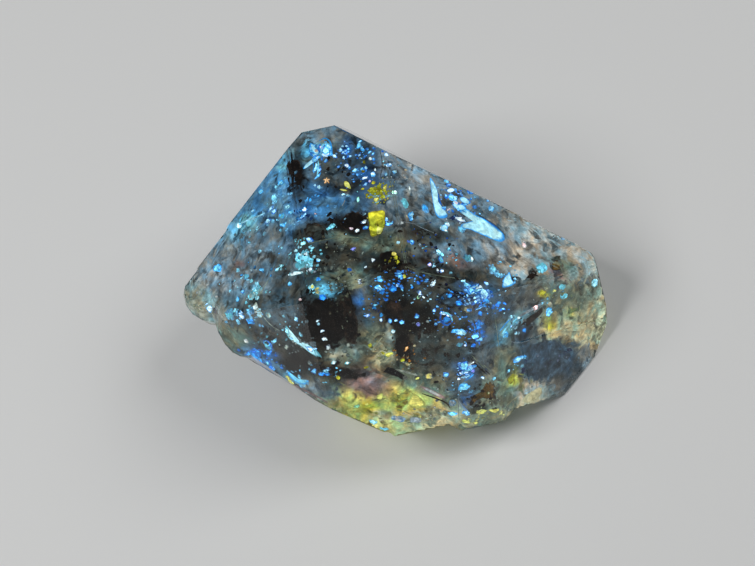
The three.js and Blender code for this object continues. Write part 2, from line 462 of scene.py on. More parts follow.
def painted_glow_material(name, strength, grain, contrast, drift, wisps):
    """A material that glows with its own tint by emission, painted light in place of being lit, and its
    nodes, for a tint and a cover to be linked.
    """
    material = bpy.data.materials.new(name)
    material.use_nodes = True
    tree = material.node_tree
    shader = tree.nodes["Principled BSDF"]
    shader.inputs["Base Color"].default_value = (0, 0, 0, 1)
    shader.inputs["Roughness"].default_value = 0.6
    shader.inputs["Specular IOR Level"].default_value = 0
    shader.inputs["Emission Strength"].default_value = strength
    clouds = tree.nodes.new("ShaderNodeGroup")
    clouds.node_tree = cloudiness
    clouds.inputs["Grain"].default_value = grain
    clouds.inputs["Contrast"].default_value = contrast
    clouds.inputs["Drift"].default_value = drift
    clouds.inputs["Wisps"].default_value = wisps
    tree.links.new(clouds.outputs["Color"], shader.inputs["Emission Color"])
    return material, tree, shader, clouds


HAZE_GRAIN = 3600
HAZE_DRIFT = 0.8
HAZE_RIFTS = 0.3
HOLE_SCALE = 1500
HOLE_BORDER = 0.12


def veil_material(name, strength, holes, contrast, wisps):
    """Haze: the tint that the sheet carries, glowing as painted light, with holes where a noise is low."""
    material, tree, shader, clouds = painted_glow_material(name, strength, HAZE_GRAIN, contrast, HAZE_DRIFT, wisps)
    nodes, links = tree.nodes, tree.links
    tint = nodes.new("ShaderNodeAttribute")
    tint.attribute_name = "haze"
    links.new(tint.outputs["Color"], clouds.inputs["Tint"])
    clouds.inputs["Rifts"].default_value = HAZE_RIFTS
    place = nodes.new("ShaderNodeTexCoord")
    tears = nodes.new("ShaderNodeTexNoise")
    tears.inputs["Scale"].default_value = HOLE_SCALE
    tears.inputs["Detail"].default_value = 4
    tears.inputs["Distortion"].default_value = 0.8
    links.new(place.outputs["Object"], tears.inputs["Vector"])
    tear = nodes.new("ShaderNodeMapRange")
    tear.inputs["From Min"].default_value = holes
    tear.inputs["From Max"].default_value = holes + HOLE_BORDER
    links.new(tears.outputs["Fac"], tear.inputs["Value"])
    cover = nodes.new("ShaderNodeAttribute")
    cover.attribute_name = "cover"
    alpha = nodes.new("ShaderNodeMath")
    alpha.operation = "MULTIPLY"
    links.new(cover.outputs["Fac"], alpha.inputs[0])
    links.new(tear.outputs["Result"], alpha.inputs[1])
    links.new(alpha.outputs["Value"], shader.inputs["Alpha"])
    return material


# Faces whose normal's share towards the camera is less than this are seen edge-on.
EDGE_ON = 0.12
NEARLY_FLAT = 0.02
PATCH_SIZE = 0.35 * MM
SPLIT_ROUNDS = 6
WAVE_SIZE = 3 * MM
WAVE_PIXELS = 60
BORDER_REACH = 0.5 * MM
REAR_SHARES = (1, 0.6, 0.3)
COVER_FADE = 0.1 * MM
SAME_FACE = 0.995


def seen_place(point):
    """The place of the photograph where a point of the scene is seen."""
    away = point - eye
    scale = CAMERA_DISTANCE / (-away.dot(CAMERA_SIDE) * PHOTO_PIXEL)
    return (PHOTO_SIZE[0] / 2 + away.dot(right) * scale, PHOTO_SIZE[1] / 2 - away.dot(up) * scale)


def wavy_depth(place, depth, waves):
    """The depth of a sheet that waves between one depth and another, by the noise at a place."""
    wave = noise.fractal(place, NOISE_FALLOFF, NOISE_STEP, 4)
    return depth + waves * (0.5 + 0.5 * max(-1, min(1, wave)))


def edge_on_sheets(depth, waves, seed):
    """Sheets under the faces seen edge-on: their points, the points' places in the photograph, and faces."""
    sheet = bmesh.new()
    sheet.from_mesh(body_mesh)
    seen_well = [face for face in sheet.faces if abs(face.normal.dot(CAMERA_SIDE)) > EDGE_ON]
    bmesh.ops.delete(sheet, geom=seen_well, context="FACES")
    bmesh.ops.dissolve_limit(sheet, angle_limit=NEARLY_FLAT, verts=sheet.verts[:], edges=sheet.edges[:])
    bmesh.ops.triangulate(sheet, faces=sheet.faces[:])
    for _ in range(SPLIT_ROUNDS):
        long_edges = [edge for edge in sheet.edges if edge.calc_length() > PATCH_SIZE]
        bmesh.ops.subdivide_edges(sheet, edges=long_edges, cuts=1)
        bmesh.ops.triangulate(sheet, faces=sheet.faces[:])
    sheet.normal_update()
    for vertex in sheet.verts:
        vertex.co -= vertex.normal * wavy_depth(vertex.co / WAVE_SIZE + Vector((0, 0, seed)), depth, waves)
    outside = [vertex for vertex in sheet.verts if under_skin(vertex.co) < SKIN]
    bmesh.ops.delete(sheet, geom=outside, context="VERTS")
    sheet.verts.index_update()
    points = [vertex.co.copy() for vertex in sheet.verts]
    faces = [[vertex.index for vertex in face.verts] for face in sheet.faces]
    sheet.free()
    return points, [seen_place(point) for point in points], faces


def veils(name, depth, waves, seed, material, behind=False):
    """Curved sheets of haze under every face on the camera's side of the quartz, or behind, as one piece."""
    faces = {}
    for j, y in enumerate(HAZE_ROWS):
        for i, x in enumerate(HAZE_COLUMNS):
            face = face_at((x, y), behind)
            if face and abs(CAMERA_SIDE.dot(face[1])) > EDGE_ON:
                faces[j, i] = face
    points, places, quads = [], [], []
    known = {}

    def corner(j, i, face):
        """The sheet's point at that step of the grid, as it lies under the given face."""
        key = (j, i, round(face[1].x, 2), round(face[1].y, 2), round(face[1].z, 2))
        if key not in known:
            seen_at = (HAZE_COLUMNS[i], HAZE_ROWS[j])
            wave_place = Vector((seen_at[0] / WAVE_PIXELS, seen_at[1] / WAVE_PIXELS, seed))
            sunk = wavy_depth(wave_place, depth, waves)
            point = None
            if not behind:
                point = inside(seen_at, sunk, face)
            elif (j, i) in faces:
                hit, normal = faces[j, i]
                tries = [hit - normal * sunk * share for share in REAR_SHARES]
                point = next((spot for spot in tries if under_skin(spot) > SKIN), None)
            known[key] = -1 if point is None else len(points)
            if point is not None:
                points.append(point)
                places.append(seen_at)
        return known[key]

    for j in range(len(HAZE_ROWS) - 1):
        for i in range(len(HAZE_COLUMNS) - 1):
            around = [(j, i), (j + 1, i), (j + 1, i + 1), (j, i + 1)]
            hit = [faces[step] for step in around if step in faces]
            if len(hit) < 3:
                continue
            distinct = []
            for face in hit:
                if all(face[1].dot(other[1]) < SAME_FACE for other in distinct):
                    distinct.append(face)
            for face in distinct:
                quad = [corner(*step, face) for step in around if step in faces]
                if -1 in quad:
                    continue
                reach = max((points[a] - points[b]).length for a, b in zip(quad, quad[1:] + quad[:1]))
                if len(distinct) == 1 or reach < BORDER_REACH:
                    quads.append(quad)
    if not behind:
        sheet_points, sheet_places, sheet_faces = edge_on_sheets(depth, waves, seed)
        quads += [[index + len(points) for index in face] for face in sheet_faces]
        points += sheet_points
        places += sheet_places
    mesh = bpy.data.meshes.new(name)
    mesh.from_pydata(points, [], quads)
    tints = haze_tints(places, seed)
    haze = mesh.attributes.new("haze", "FLOAT_COLOR", "POINT")
    haze.data.foreach_set("color", np.hstack([tints, np.ones((len(points), 1))]).ravel())
    fade = mesh.attributes.new("cover", "FLOAT", "POINT")
    depths = np.array([under_skin(point) for point in points])
    fade.data.foreach_set("value", smooth(0.0, COVER_FADE, depths))
    for polygon in mesh.polygons:
        polygon.use_smooth = True
    return add_piece(name, mesh, material)


# The three haze sheets glow by emission: painted light in place of the lamps' light that the haze would
# scatter.
front_haze_painted_glow = veil_material("front_haze_painted_glow", strength=1.3, holes=0.4, contrast=0.45, wisps=0.06)
veils("front_veils", depth=0.35 * MM, waves=0.6 * MM, seed=3.1, material=front_haze_painted_glow)
inner_haze_painted_glow = veil_material("inner_haze_painted_glow", strength=0.5, holes=0.1, contrast=0.8, wisps=0.3)
veils("inner_veils", depth=1.3 * MM, waves=1.0 * MM, seed=8.7, material=inner_haze_painted_glow)
rear_haze_painted_glow = veil_material("rear_haze_painted_glow", strength=0.9, holes=0.36, contrast=0.6, wisps=0.3)
veils("rear_veils", depth=0.5 * MM, waves=0.6 * MM, seed=5.3, material=rear_haze_painted_glow, behind=True)


# Blue petroleum: drops and films of oil sealed in the quartz, which glow light blue. The glow is painted
# light, emission that stands in for the oil's fluorescence under ultraviolet light. Most are deep blue at
# the rim and nearly white in the middle. Single drops come first, then swarms of fine ones along old cracks.
ICE = linear(160, 224, 246)
WHITE_HOT = linear(214, 242, 250)
CYAN = linear(120, 208, 240)
AZURE = linear(48, 150, 225)
ROYAL = linear(24, 90, 178)
MIDNIGHT = linear(8, 22, 60)
TEAL = linear(84, 160, 176)
GREEN_GLOW = linear(130, 200, 150)
VIOLET = linear(120, 130, 220)
PINK_WHITE = linear(222, 200, 205)

# Drops. Each is a place in the photograph, a half-length and a half-width in mm, a lean in degrees, a rim
# tint and a middle tint.
DROPS = [
    ((326, 150), 0.12, 0.20, 10, AZURE, ICE),
    ((319, 187), 0.08, 0.08, 0, ROYAL, ICE),
    ((282, 216), 0.12, 0.09, 0, AZURE, TEAL),
    ((291, 212), 0.09, 0.08, 0, AZURE, CYAN),
    ((283, 225), 0.11, 0.08, 0, AZURE, CYAN),
    ((303, 260), 0.31, 0.19, -10, TEAL, CYAN),
    ((331, 227), 0.21, 0.08, 25, TEAL, CYAN),
    ((246, 277), 0.09, 0.14, 0, BLUE_HAZE, TEAL),
    ((230, 316), 0.18, 0.14, 0, BLUE_HAZE, TEAL),
    ((257, 286), 0.17, 0.09, -60, TEAL, ICE),
    ((252, 295), 0.12, 0.21, 0, TEAL, PALE_TEAL),
    ((312, 287), 0.13, 0.10, 0, TEAL, ICE),
    ((323, 297), 0.15, 0.11, 0, ROYAL, AZURE),
    ((380, 280), 0.11, 0.09, 0, AZURE, CYAN),
    ((400, 276), 0.11, 0.08, 0, AZURE, CYAN),
    ((461, 332), 0.25, 0.12, -15, AZURE, ICE),
    ((454, 331), 0.12, 0.07, 10, AZURE, CYAN),
    ((542, 268), 0.26, 0.15, 30, TEAL, CYAN),
    ((399, 419), 0.28, 0.12, -15, BLUE_HAZE, PEARL),
    ((416, 420), 0.24, 0.12, 0, STEEL, PALE_STEEL),
    ((373, 422), 0.19, 0.08, -20, TEAL, ICE),
    ((384, 429), 0.19, 0.06, -10, TEAL, CYAN),
    ((268, 345), 0.22, 0.14, -45, ROYAL, TEAL),
    ((464, 366), 0.21, 0.14, 60, ROYAL, CYAN),
    ((471, 290), 0.18, 0.12, 60, ROYAL, CYAN),
    ((311, 148), 0.16, 0.05, 70, AZURE, ICE),
    ((316, 155), 0.17, 0.07, 60, ROYAL, ICE),
    ((316, 151), 0.08, 0.07, 0, CREAM, PINK_WHITE),
    ((321, 147), 0.08, 0.08, 0, VIOLET, PINK_WHITE),
    ((328, 146), 0.22, 0.05, -50, AZURE, ICE),
    ((331, 152), 0.17, 0.05, 80, AZURE, ICE),
    ((334, 156), 0.16, 0.05, -30, ROYAL, ICE),
    ((325.5, 154.5), 0.20, 0.06, 0, AZURE, WHITE_HOT),
    ((317, 158), 0.17, 0.06, 30, AZURE, WHITE_HOT),
    ((315.5, 168), 0.21, 0.05, 75, AZURE, ICE),
    ((320, 169), 0.14, 0.05, 80, ROYAL, ICE),
    ((317.5, 176.6), 0.21, 0.05, 45, AZURE, ICE),
    ((314.8, 185.4), 0.06, 0.05, 0, ROYAL, ICE),
    ((304.5, 209.5), 0.09, 0.08, 0, ROYAL, WHITE_HOT),
    ((303, 216), 0.23, 0.04, 45, ROYAL, ICE),
    ((300, 219), 0.16, 0.04, 45, ROYAL, CYAN),
    ((315.8, 214), 0.07, 0.06, 0, MIDNIGHT, PINK_WHITE),
    ((343.5, 194.4), 0.09, 0.05, 5, MIDNIGHT, ICE),
    ((347.8, 195.2), 0.07, 0.05, 0, MIDNIGHT, ICE),
    ((340.4, 149.8), 0.08, 0.09, 0, ROYAL, ICE),
    ((342.7, 146.2), 0.06, 0.05, 0, ROYAL, ICE),
    ((346.6, 146), 0.07, 0.06, 0, ROYAL, ICE),
    ((348.6, 149), 0.06, 0.05, 0, ROYAL, CYAN),
    ((343.5, 152), 0.06, 0.05, 0, ROYAL, ICE),
    ((343.5, 158), 0.07, 0.06, 0, ROYAL, ICE),
    ((350.4, 156), 0.07, 0.05, 0, ROYAL, ICE),
    ((360, 141.4), 0.19, 0.06, 20, AZURE, ICE),
    ((358.8, 146), 0.07, 0.12, 0, AZURE, CYAN),
    ((362.4, 149.6), 0.11, 0.07, -40, AZURE, ICE),
    ((370, 152), 0.11, 0.05, 30, ROYAL, CYAN),
    ((373.5, 153.5), 0.10, 0.05, 40, ROYAL, CYAN),
    ((370.3, 159), 0.08, 0.07, 0, MIDNIGHT, WHITE_HOT),
    ((360.3, 153.2), 0.06, 0.05, 0, ROYAL, CYAN),
    ((347.4, 165.5), 0.09, 0.12, 20, ROYAL, WHITE_HOT),
    ((349.5, 168), 0.06, 0.06, 0, ROYAL, CYAN),
    ((355.4, 170.6), 0.13, 0.06, 30, AZURE, ICE),
    ((365.5, 168), 0.07, 0.08, 0, ROYAL, ICE),
    ((375, 170.2), 0.06, 0.07, 0, MIDNIGHT, WHITE_HOT),
    ((373.3, 174.4), 0.10, 0.08, 40, AZURE, WHITE_HOT),
    ((365.4, 177.8), 0.16, 0.05, 25, ROYAL, WHITE_HOT),
    ((369.6, 181), 0.07, 0.06, 0, ROYAL, PINK_WHITE),
    ((365, 184.6), 0.14, 0.05, 40, ROYAL, ICE),
    ((357.7, 199.5), 0.06, 0.10, 0, GREEN_GLOW, ICE),
    ((377, 201), 0.09, 0.08, 0, TEAL, PALE_TEAL),
    ((363.6, 222), 0.17, 0.07, 25, MIDNIGHT, WHITE_HOT),
    ((365.6, 227.8), 0.12, 0.07, 20, ROYAL, CYAN),
    ((357, 230.4), 0.11, 0.07, 20, MIDNIGHT, WHITE_HOT),
    ((351.4, 228.6), 0.09, 0.06, 20, MIDNIGHT, PINK_WHITE),
    ((386.6, 219.6), 0.08, 0.07, 20, ROYAL, ICE),
    ((389.5, 223.6), 0.16, 0.06, 25, ROYAL, CYAN),
    ((398.4, 242.6), 0.07, 0.06, 0, STEEL, ICE),
    ((309.6, 240), 0.15, 0.10, -20, ROYAL, ICE),
    ((302.4, 243.4), 0.08, 0.06, 0, TEAL, ICE),
    ((306.6, 254), 0.09, 0.08, 0, TEAL, WHITE_HOT),
    ((298.4, 255.4), 0.13, 0.09, 0, TEAL, CYAN),
    ((310.6, 269), 0.12, 0.08, 20, MIDNIGHT, WHITE_HOT),
    ((314.6, 271.6), 0.08, 0.05, 0, MIDNIGHT, WHITE_HOT),
    ((318.3, 260.2), 0.09, 0.07, 0, AZURE, ICE),
    ((310.6, 262.8), 0.10, 0.08, 0, TEAL, ICE),
    ((353.5, 249), 0.12, 0.09, 0, NAVY, VIOLET),
    ((373, 260.2), 0.09, 0.08, 0, MIDNIGHT, WHITE_HOT),
    ((365.7, 266.7), 0.07, 0.06, 0, MIDNIGHT, WHITE_HOT),
    ((349.2, 270), 0.10, 0.08, 0, ROYAL, AZURE),
    ((359.6, 282.4), 0.10, 0.07, 0, MIDNIGHT, WHITE_HOT),
    ((318.3, 279), 0.08, 0.07, 0, ROYAL, AZURE),
    ((300, 299.6), 0.06, 0.05, 0, ROSE, PINK_WHITE),
    ((287.4, 207), 0.10, 0.08, 0, TEAL, ICE),
    ((239, 225.5), 0.09, 0.10, 0, TEAL, WHITE_HOT),
    ((253, 211), 0.06, 0.06, 0, AZURE, ICE),
    ((271.3, 208.6), 0.17, 0.05, 45, ROYAL, ICE),
    ((273.6, 212), 0.13, 0.05, 45, ROYAL, ICE),
    ((268, 221), 0.14, 0.06, 45, ROYAL, ICE),
    ((275.4, 198), 0.15, 0.20, 0, BLUE_HAZE, CYAN),
    ((261, 191.6), 0.10, 0.07, 0, AZURE, CYAN),
    ((280.7, 182.7), 0.11, 0.09, 0, AZURE, CYAN),
    ((217.3, 268.4), 0.17, 0.14, 0, AZURE, CYAN),
    ((261.5, 269.7), 0.09, 0.07, 0, AZURE, CYAN),
    ((243.2, 291.6), 0.08, 0.07, 0, ROYAL, CYAN),
    ((237.4, 299.2), 0.06, 0.10, 0, AZURE, CYAN),
    ((277, 269.3), 0.12, 0.05, 30, TEAL, ICE),
    ((281.6, 265.7), 0.09, 0.05, 30, TEAL, ICE),
    ((255.3, 306.8), 0.12, 0.14, 0, PALE_TEAL, WHITE_HOT),
    ((259.6, 314), 0.11, 0.13, 0, PALE_TEAL, ICE),
    ((268, 315), 0.09, 0.08, 0, TEAL, PALE_TEAL),
    ((209.7, 309.5), 0.11, 0.13, 0, AZURE, WHITE_HOT),
    ((214.6, 310.6), 0.08, 0.08, 0, MIDNIGHT, SMOKE),
    ((290, 283.6), 0.09, 0.07, 0, AZURE, CYAN),
    ((300, 255.5), 0.12, 0.08, 20, TEAL, WHITE_HOT),
    ((296, 251), 0.08, 0.06, 0, TEAL, ICE),
    ((387, 154.6), 0.07, 0.07, 0, AZURE, WHITE_HOT),
    ((389.4, 165), 0.07, 0.07, 0, AZURE, WHITE_HOT),
    ((394.8, 171.6), 0.08, 0.07, 20, AZURE, ICE),
    ((386, 174.3), 0.06, 0.05, 0, AZURE, ICE),
    ((395.2, 192), 0.08, 0.07, 0, GREEN_GLOW, WHITE_HOT),
    ((409.6, 189), 0.04, 0.13, -15, OLIVE_GREY, WHITE_HOT),
    ((405.7, 170), 0.06, 0.06, 0, ROSE, CREAM),
    ((405, 203), 0.12, 0.22, 0, TEAL, TEAL),
    ((425.6, 209), 0.11, 0.20, 0, BLUE_HAZE, AZURE),
    ((411.2, 216.6), 0.10, 0.18, -12, AZURE, ICE),
    ((406.6, 216.4), 0.04, 0.08, 30, ROSE, CREAM),
    ((402, 223), 0.06, 0.05, 0, SLATE, PEARL),
    ((451.6, 197.5), 0.11, 0.12, 0, AZURE, CYAN),
    ((455.6, 203), 0.09, 0.08, 0, CYAN, PINK_WHITE),
    ((471, 199), 0.07, 0.05, 30, ROYAL, CYAN),
    ((449, 209.6), 0.08, 0.04, 20, NAVY, PINK_WHITE),
    ((441.7, 227.3), 0.09, 0.08, -20, TEAL, WHITE_HOT),
    ((447, 225), 0.08, 0.09, 0, TEAL, WHITE_HOT),
    ((445.8, 230.4), 0.12, 0.05, -30, TEAL, WHITE_HOT),
    ((461.6, 229.6), 0.15, 0.12, 0, BLUE_HAZE, CYAN),
    ((491, 208.6), 0.11, 0.10, 0, AZURE, ICE),
    ((446.5, 181.5), 0.08, 0.07, 0, AZURE, CYAN),
    ((411.8, 241.8), 0.12, 0.09, 0, ROYAL, CYAN),
    ((408.2, 241.6), 0.06, 0.05, 0, ROYAL, VIOLET),
    ((420.4, 245), 0.07, 0.09, 0, NAVY, PALE_STEEL),
    ((438, 251.6), 0.13, 0.10, 0, MIDNIGHT, ICE),
    ((441.4, 254.6), 0.08, 0.07, 0, MIDNIGHT, CYAN),
    ((440.6, 259.4), 0.09, 0.15, 0, ROYAL, TEAL),
    ((429.6, 264.8), 0.08, 0.07, 0, ROYAL, PINK_WHITE),
    ((433.8, 266.4), 0.07, 0.06, 0, MIDNIGHT, ICE),
    ((437.6, 270.4), 0.06, 0.08, 0, MIDNIGHT, WHITE_HOT),
    ((441.8, 271), 0.08, 0.07, 0, ROYAL, WHITE_HOT),
    ((471, 258.4), 0.08, 0.11, 0, TEAL, WHITE_HOT),
    ((467, 258), 0.16, 0.15, 0, BLUE_HAZE, TEAL),
    ((433.4, 282.6), 0.13, 0.07, 40, MIDNIGHT, WHITE_HOT),
    ((524, 244.7), 0.09, 0.15, 0, PEARL, PINK_WHITE),
    ((493, 269.4), 0.19, 0.11, -30, BLUE_HAZE, CYAN),
    ((498, 274.5), 0.15, 0.09, -30, BLUE_HAZE, CYAN),
    ((577.5, 244.7), 0.15, 0.13, 0, BLUE_HAZE, PALE_STEEL),
    ((563, 238.5), 0.15, 0.11, 0, BLUE_HAZE, PALE_STEEL),
    ((595, 282.7), 0.12, 0.16, 0, TEAL, ICE),
    ((463, 280.6), 0.10, 0.05, 0, MIDNIGHT, ICE),
    ((467, 285.4), 0.14, 0.08, -30, ROYAL, CYAN),
    ((466, 290.8), 0.09, 0.08, 0, ROYAL, CYAN),
    ((479.4, 287), 0.18, 0.05, 20, MIDNIGHT, WHITE_HOT),
    ((475.3, 291.6), 0.11, 0.08, 0, ROYAL, CYAN),
    ((484.6, 293.6), 0.17, 0.16, 0, ROYAL, ICE),
    ((484.6, 293.8), 0.06, 0.06, 0, NAVY, NAVY),
    ((486, 300.7), 0.14, 0.08, -20, ROYAL, AZURE),
    ((562.3, 287), 0.14, 0.10, 0, TEAL, TEAL),
    ((564, 296), 0.15, 0.12, 0, TEAL, TEAL),
    ((535.5, 307.7), 0.11, 0.09, 0, ROSE, PINK_WHITE),
    ((549, 312), 0.12, 0.15, 0, AZURE, CYAN),
    ((508.8, 320), 0.08, 0.04, 35, TEAL, WHITE_HOT),
    ((518.6, 317.5), 0.08, 0.04, 35, TEAL, WHITE_HOT),
    ((511.4, 326.4), 0.08, 0.04, 35, AZURE, WHITE_HOT),
    ((506, 334.5), 0.12, 0.09, 35, AZURE, CYAN),
    ((524.4, 330), 0.08, 0.09, 0, ROYAL, AZURE),
    ((503.4, 308.6), 0.07, 0.06, 0, ROYAL, CYAN),
    ((519, 358.8), 0.26, 0.09, 25, AZURE, ICE),
    ((513.7, 412), 0.19, 0.10, 15, BLUE_HAZE, CYAN),
    ((493.9, 378.6), 0.09, 0.08, 0, BLUE_HAZE, CYAN),
    ((379.5, 288.3), 0.21, 0.07, -20, AZURE, ICE),
    ((393.2, 289), 0.16, 0.12, 0, ROYAL, AZURE),
    ((397.3, 285.8), 0.07, 0.06, 0, AZURE, WHITE_HOT),
    ((375, 305), 0.08, 0.07, 0, MIDNIGHT, CYAN),
    ((377, 310.7), 0.10, 0.09, 0, MIDNIGHT, SMOKE),
    ((367.5, 315.6), 0.11, 0.05, 20, ROYAL, WHITE_HOT),
    ((380.7, 314.8), 0.09, 0.08, 0, MIDNIGHT, AZURE),
    ((380.7, 320.2), 0.07, 0.06, 0, ROYAL, WHITE_HOT),
    ((390, 321), 0.09, 0.08, 0, ROYAL, CYAN),
    ((401.5, 322.3), 0.12, 0.08, 0, ROYAL, CYAN),
    ((396, 320.2), 0.07, 0.05, 0, ROYAL, ICE),
    ((417, 316.5), 0.09, 0.08, 0, ROYAL, CYAN),
    ((418, 324.8), 0.09, 0.10, 0, NAVY, VIOLET),
    ((420, 292.8), 0.05, 0.12, 0, ROYAL, WHITE_HOT),
    ((423.8, 297), 0.07, 0.06, 0, MIDNIGHT, WHITE_HOT),
    ((418.5, 297), 0.06, 0.06, 0, GREEN_GLOW, CREAM),
    ((434.6, 310.2), 0.08, 0.07, 0, ROYAL, ICE),
    ((443, 313), 0.14, 0.05, -15, ROYAL, WHITE_HOT),
    ((449, 315.4), 0.13, 0.05, -10, ROYAL, WHITE_HOT),
    ((447, 320), 0.14, 0.12, 0, ROYAL, AZURE),
    ((435.5, 324), 0.07, 0.06, 0, ROYAL, CYAN),
    ((449.6, 295.7), 0.10, 0.08, 0, ROYAL, AZURE),
    ((459.5, 303.2), 0.14, 0.09, 0, ROYAL, AZURE),
    ((479.4, 307.3), 0.19, 0.05, 30, ROYAL, ICE),
    ((478.6, 324.8), 0.08, 0.19, 0, ROYAL, AZURE),
    ((475.3, 336.4), 0.15, 0.11, 0, ROYAL, CYAN),
    ((480.2, 339.7), 0.11, 0.08, 0, ROYAL, CYAN),
    ((465.3, 345), 0.07, 0.06, 0, ROYAL, WHITE_HOT),
    ((459.5, 344.7), 0.12, 0.09, 0, BLUE_HAZE, TEAL),
    ((392.8, 331), 0.09, 0.08, 0, TEAL, WHITE_HOT),
    ((446.2, 374.5), 0.13, 0.11, 0, ROYAL, CYAN),
    ((472, 363), 0.19, 0.05, 30, MIDNIGHT, WHITE_HOT),
    ((473.6, 366.4), 0.14, 0.07, 20, ROYAL, AZURE),
    ((461, 373.5), 0.09, 0.04, 10, ROYAL, WHITE_HOT),
    ((466, 372.4), 0.10, 0.04, 20, ROYAL, WHITE_HOT),
    ((465.3, 377.4), 0.11, 0.04, 10, ROYAL, ICE),
    ((472.8, 371), 0.10, 0.07, 20, ROYAL, VIOLET),
    ((458.7, 378.7), 0.06, 0.06, 0, ROYAL, WHITE_HOT),
    ((464.5, 387), 0.25, 0.13, 0, AZURE, CYAN),
    ((482.5, 377.7), 0.07, 0.06, 0, AZURE, WHITE_HOT),
    ((452.8, 413.8), 0.20, 0.07, 0, AZURE, CYAN),
    ((465.7, 413), 0.20, 0.08, 0, AZURE, ICE),
    ((452.4, 403), 0.16, 0.12, 0, BLUE_HAZE, PALE_STEEL),
    ((450, 428), 0.19, 0.10, 0, BLUE_HAZE, PALE_STEEL),
    ((356.8, 406.3), 0.15, 0.05, 20, OLIVE_GREY, GREEN_GLOW),
    ((318, 320), 0.11, 0.09, 0, MIDNIGHT, WHITE_HOT),
    ((318.4, 324), 0.09, 0.06, 0, MIDNIGHT, ICE),
    ((322.4, 330.8), 0.10, 0.08, 0, MIDNIGHT, WHITE_HOT),
    ((321.5, 335.9), 0.06, 0.05, 0, MIDNIGHT, ICE),
    ((324.6, 339), 0.11, 0.09, 0, MIDNIGHT, WHITE_HOT),
    ((327.8, 347), 0.11, 0.09, 0, MIDNIGHT, WHITE_HOT),
    ((333.6, 362.5), 0.13, 0.06, 25, TEAL, WHITE_HOT),
    ((347, 363.4), 0.13, 0.06, 10, TEAL, WHITE_HOT),
    ((327.8, 370), 0.20, 0.07, 10, MIDNIGHT, ICE),
    ((314.4, 371.4), 0.11, 0.08, 40, ROYAL, CYAN),
    ((321, 374.2), 0.12, 0.05, 5, ROYAL, AZURE),
    ((327.4, 374.4), 0.12, 0.05, 5, ROYAL, AZURE),
    ((296, 318.8), 0.06, 0.13, 15, BLUE_HAZE, ICE),
    ((287, 330.4), 0.06, 0.11, 15, TEAL, ICE),
    ((300.5, 334.8), 0.05, 0.11, 20, TEAL, ICE),
    ((241.6, 316), 0.12, 0.08, -20, AZURE, WHITE_HOT),
    ((250.5, 321.4), 0.15, 0.09, 0, ROYAL, AZURE),
    ((260.4, 359.8), 0.11, 0.05, -35, ROYAL, CYAN),
    ((267.5, 362.5), 0.11, 0.05, -35, ROYAL, CYAN),
    ((267.5, 352.7), 0.09, 0.09, 0, ROYAL, AZURE),
    ((274.6, 341), 0.17, 0.05, 40, BLUE_HAZE, CYAN),
    ((273, 368.8), 0.09, 0.06, -30, AZURE, WHITE_HOT),
    ((246.5, 341), 0.10, 0.08, 0, PALE_STEEL, PEARL),
    ((309.5, 348.4), 0.21, 0.10, -28, AZURE, WHITE_HOT),
    ((292.5, 338.6), 0.16, 0.06, -35, AZURE, ICE),
]

